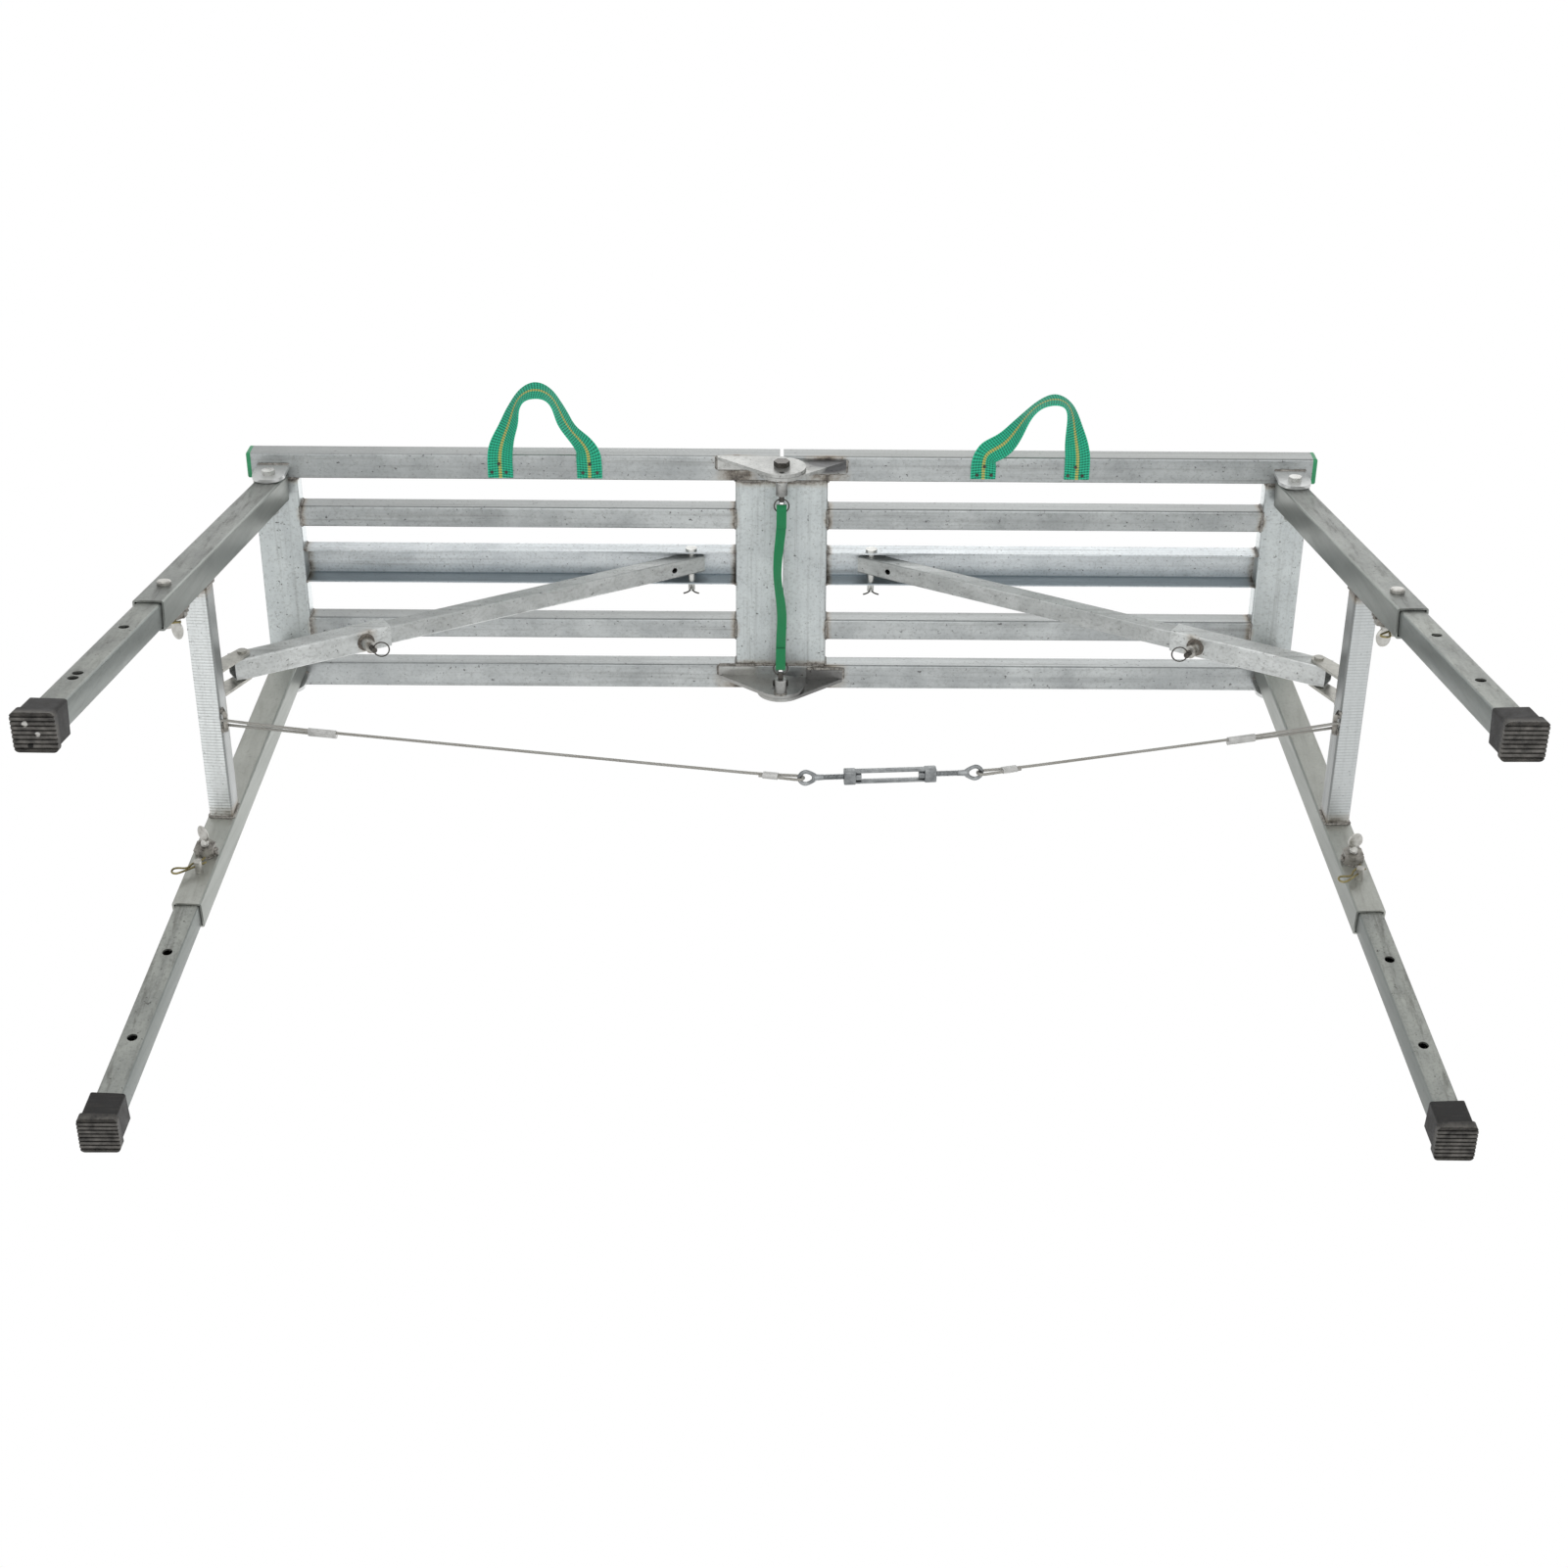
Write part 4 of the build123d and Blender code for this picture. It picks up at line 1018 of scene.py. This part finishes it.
def make_turnbuckle_body():
    """Two thin bars between two end blocks, with a hexagon at each block."""
    parts = []
    for middle, turn in ((43.0, 1), (123.0, -1)):
        parts.append(block("end_block", (middle, 0, 0), (12, 14, 11), 1.2))
        hexagon = basic(bpy.ops.mesh.primitive_cylinder_add, "hexagon", vertices=6, radius=0.0047,
                        depth=0.006, rotation=(0, pi / 2, 0), location=metres((middle + turn * 8.5, 0, 0)))
        parts.append(work(settle(hexagon), "BEVEL", width=0.0005, segments=2))
    for row in (-5.8, 5.8):
        parts.append(block("bar", (83.0, row, 0), (90, 2.2, 7), 0.7))
    body = weld_up("turnbuckle_frame", parts)
    settle(body, turned_to(metres(eyes["left"]), eyes["right"] - eyes["left"], upward))
    hand_over(smooth(body, 40), "turnbuckle_body", turnbuckle_zinc, "bolt_zinc", "turnbuckle_body")


# Thumb screws
def thumb_screw_shape():
    """A leaf-shaped wing on a threaded stem, along the first axis away from the leg's middle."""
    stem = threaded_rod("stem", 0.0126, 0.0315, 0.004)
    leaf = basic(bpy.ops.mesh.primitive_uv_sphere_add, "leaf", segments=28, ring_count=14, radius=1.0)
    half_length = 0.0105
    half_width = 0.0078
    middle = 0.0402
    for corner in leaf.data.vertices:
        x, y, z = corner.co
        waist = 1.0 if x > -0.2 else 1.0 - 0.5 * ((-0.2 - x) / 0.8) ** 1.5
        ridge = 0.12 * sin(x * 14) * (1 - y * y)
        height = z * (0.0017 + 0.0008 * ridge) * (1.0 + 0.5 * max(0, -x))
        corner.co = (x * half_length + middle, y * half_width * waist, height)
    collar = basic(bpy.ops.mesh.primitive_cone_add, "collar", vertices=24, radius1=0.0042, radius2=0.0022,
                   depth=0.005, location=(0.0318, 0, 0), rotation=(0, pi / 2, 0))
    return weld_up("thumb_screw_shape", [stem, leaf, settle(collar)])


def make_thumb_screws():
    shape = thumb_screw_shape()
    for side, sx in sides.items():
        for row, sy in rows.items():
            out = leg_axes(sx, sy)[1]
            face = Vector((sx * (0.5 if sx < 0 else 0.1), -0.54, -0.84))
            place = turned_to(metres(leg_spot(sx, sy, screw_at)), -out, face)
            screw = copies("wing_screw_" + side + "_" + row, shape, [place])
            name = "thumb_screw_" + side + "_" + row
            hand_over(smooth(screw, 40), name, bolt_zinc, "bolt_zinc", name)
    bpy.data.objects.remove(shape)


# Inner legs, with the holes that the pins use
def inner_leg_shape(holes):
    """A square tube along the third axis with its top at nought, its holes across the second axis."""
    low = inner_top - inner_end
    h = inner_half
    corners = [metres((x, y, z)) for x, y in ((-h, -h), (-h, h), (h, h), (h, -h)) for z in (low, 0)]
    sides_round = [(i, i + 1, (i + 3) % 8, (i + 2) % 8) for i in (0, 2, 4, 6)]
    leg = from_grid("inner_leg_shape", corners, sides_round)
    work(leg, "BEVEL", width=0.0025, segments=3)
    work(leg, "SOLIDIFY", thickness=0.002, offset=-1.0)
    hole_radius = 0.005
    drills = []
    for below in holes:
        drill = basic(bpy.ops.mesh.primitive_cylinder_add, "drill", vertices=24, radius=hole_radius,
                      depth=0.05, rotation=(pi / 2, 0, 0), location=metres((0, 0, inner_top - below)))
        drills.append(settle(drill))
    cutter = weld_up("drills", drills)
    work(leg, "BOOLEAN", object=cutter, operation="DIFFERENCE", solver="EXACT")
    bpy.data.objects.remove(cutter)
    return leg


def make_inner_legs():
    pitch = 125.0
    last = pin_at + 2 * pitch
    pair = [last + 4.0, last + 17.0]
    holes = [pin_at + pitch * step for step in (-1, 0, 1)]
    for side, sx in sides.items():
        for row, sy in rows.items():
            paired = side == "left" and row == "front"
            leg = inner_leg_shape(holes + (pair if paired else [last]))
            down, out = leg_axes(sx, sy)
            settle(leg, turned_to(metres(leg_spot(sx, sy, inner_top)), out.cross(-down), -down))
            leg.name = "drilled_leg_" + side + "_" + row
            leg.data.name = leg.name
            corner = side + "_" + row
            hand_over(smooth(leg, 40), "leg_" + corner, inner_zinc, "zinc_leg", "inner_leg_" + corner)


# Split pin ends on the clevis pins
def make_split_pins():
    for side, sx in sides.items():
        tail = Vector((sx * clevis_x, clevis_tail_row, under_z + clevis_rise))
        legs = []
        for bend in (-1, 1):
            spots = ((0.7, 0, -3), (0.8, 0, -9), (1.6, 0.5, -12.5), (5.5, 1.5, -15), (9, 2, -15.5))
            route = [tail + Vector((x * bend, y, z)) for x, y, z in spots]
            legs.append(wire("split_pin_leg", route, 0.9))
        hand_over(smooth(weld_up(side + "_split_pin", legs), 50), "deck_" + side, dark_steel, "bolt_zinc")


# Nails in one worn sole
def make_sole_nails():
    heads = []
    for x, y, radius in nail_spots:
        head = basic(bpy.ops.mesh.primitive_uv_sphere_add, "nail", segments=20, ring_count=10,
                     radius=radius * mm)
        for corner in head.data.vertices:
            corner.co.z *= 0.45
        head.location = metres((x, y, radius * 0.45 + 0.1))
        heads.append(smooth(settle(head), 60))
    hand_over(weld_up("sole_nails", heads), "leg_left_front", bolt_zinc, "bolt_zinc")


# Floor and light
def lay_floor():
    """A pale floor that fades out with distance and lets lamps and the view from below through."""
    floor = basic(bpy.ops.mesh.primitive_plane_add, "studio_floor", size=14.0)
    paint = Finish("studio_floor", roughness=0.9)
    colour = paint.mix(paint.noise(paint.place(), 0.7), tone(236, 236, 234), tone(242, 242, 240))
    paint.feed(paint.shader.inputs["Base Color"], colour)
    clear = paint.add("BsdfTransparent", {})
    place = paint.stretched(paint.place(), (1, 1, 0))
    away = paint.add("VectorMath", {0: place}, out="Value", operation="LENGTH")
    through = paint.add("MapRange", {"Value": away, "From Min": 1.0, "From Max": 3.4},
                        interpolation_type="SMOOTHSTEP")
    for source, out in (("NewGeometry", "Backfacing"), ("LightPath", "Is Shadow Ray"),
                        ("LightPath", "Is Glossy Ray")):
        through = paint.sum("MAXIMUM", through, paint.add(source, {}, out=out))
    surface = paint.add("MixShader", {0: through, 1: paint.shader.outputs[0], 2: clear})
    paint.feed(paint.tree.nodes["Material Output"].inputs["Surface"], surface)
    floor.data.materials.append(paint.material)


def set_background():
    """White where it is seen or mirrored, and a soft grey light elsewhere."""
    world = bpy.data.worlds.new("studio")
    bpy.context.scene.world = world
    world.use_nodes = True
    tree = world.node_tree
    rays = tree.nodes.new("ShaderNodeLightPath")
    seen = rays.outputs["Is Camera Ray"]
    for ray in ("Is Glossy Ray", "Is Transmission Ray"):
        either = tree.nodes.new("ShaderNodeMath")
        either.operation = "MAXIMUM"
        tree.links.new(seen, either.inputs[0])
        tree.links.new(rays.outputs[ray], either.inputs[1])
        seen = either.outputs[0]
    level = tree.nodes.new("ShaderNodeMapRange")
    level.inputs["To Min"].default_value = 0.4
    tree.links.new(seen, level.inputs["Value"])
    sky = tree.nodes["Background"]
    sky.inputs["Color"].default_value = (1, 1, 1, 1)
    tree.links.new(level.outputs[0], sky.inputs["Strength"])


# Name, place in metres, width in metres and watts
lamps = (("front_lamp", (-0.8, -4.6, 0.6), 2.6, 20),
         ("low_lamp", (0.3, -1.3, -1.7), 2.2, 14),
         ("top_lamp", (0.4, 0.5, 4.6), 5.0, 90),
         ("back_lamp", (1.2, 2.6, 1.6), 2.0, 24))


def set_lamps():
    aim = Vector((0, 0, 0.6))
    for name, place, size, watts in lamps:
        light = bpy.data.lights.new(name, "AREA")
        light.size = size
        light.energy = watts
        lamp = bpy.data.objects.new(name, light)
        show(lamp)
        lamp.location = place
        lamp.rotation_euler = (aim - Vector(place)).to_track_quat("-Z", "Y").to_euler()


bpy.context.scene.view_settings.view_transform = "Standard"
set_camera()
dress_nodes()
ropes = {side: lay_rope(side) for side in sides}
make_eye_screws()
for side, (rope, path, length) in ropes.items():
    make_handle(side)
    for row in rows:
        make_clip(side, row)
make_turnbuckle_body()
make_strap()
make_inner_legs()
make_thumb_screws()
make_split_pins()
lay_welds()
make_sole_nails()
lay_floor()
set_background()
set_lamps()
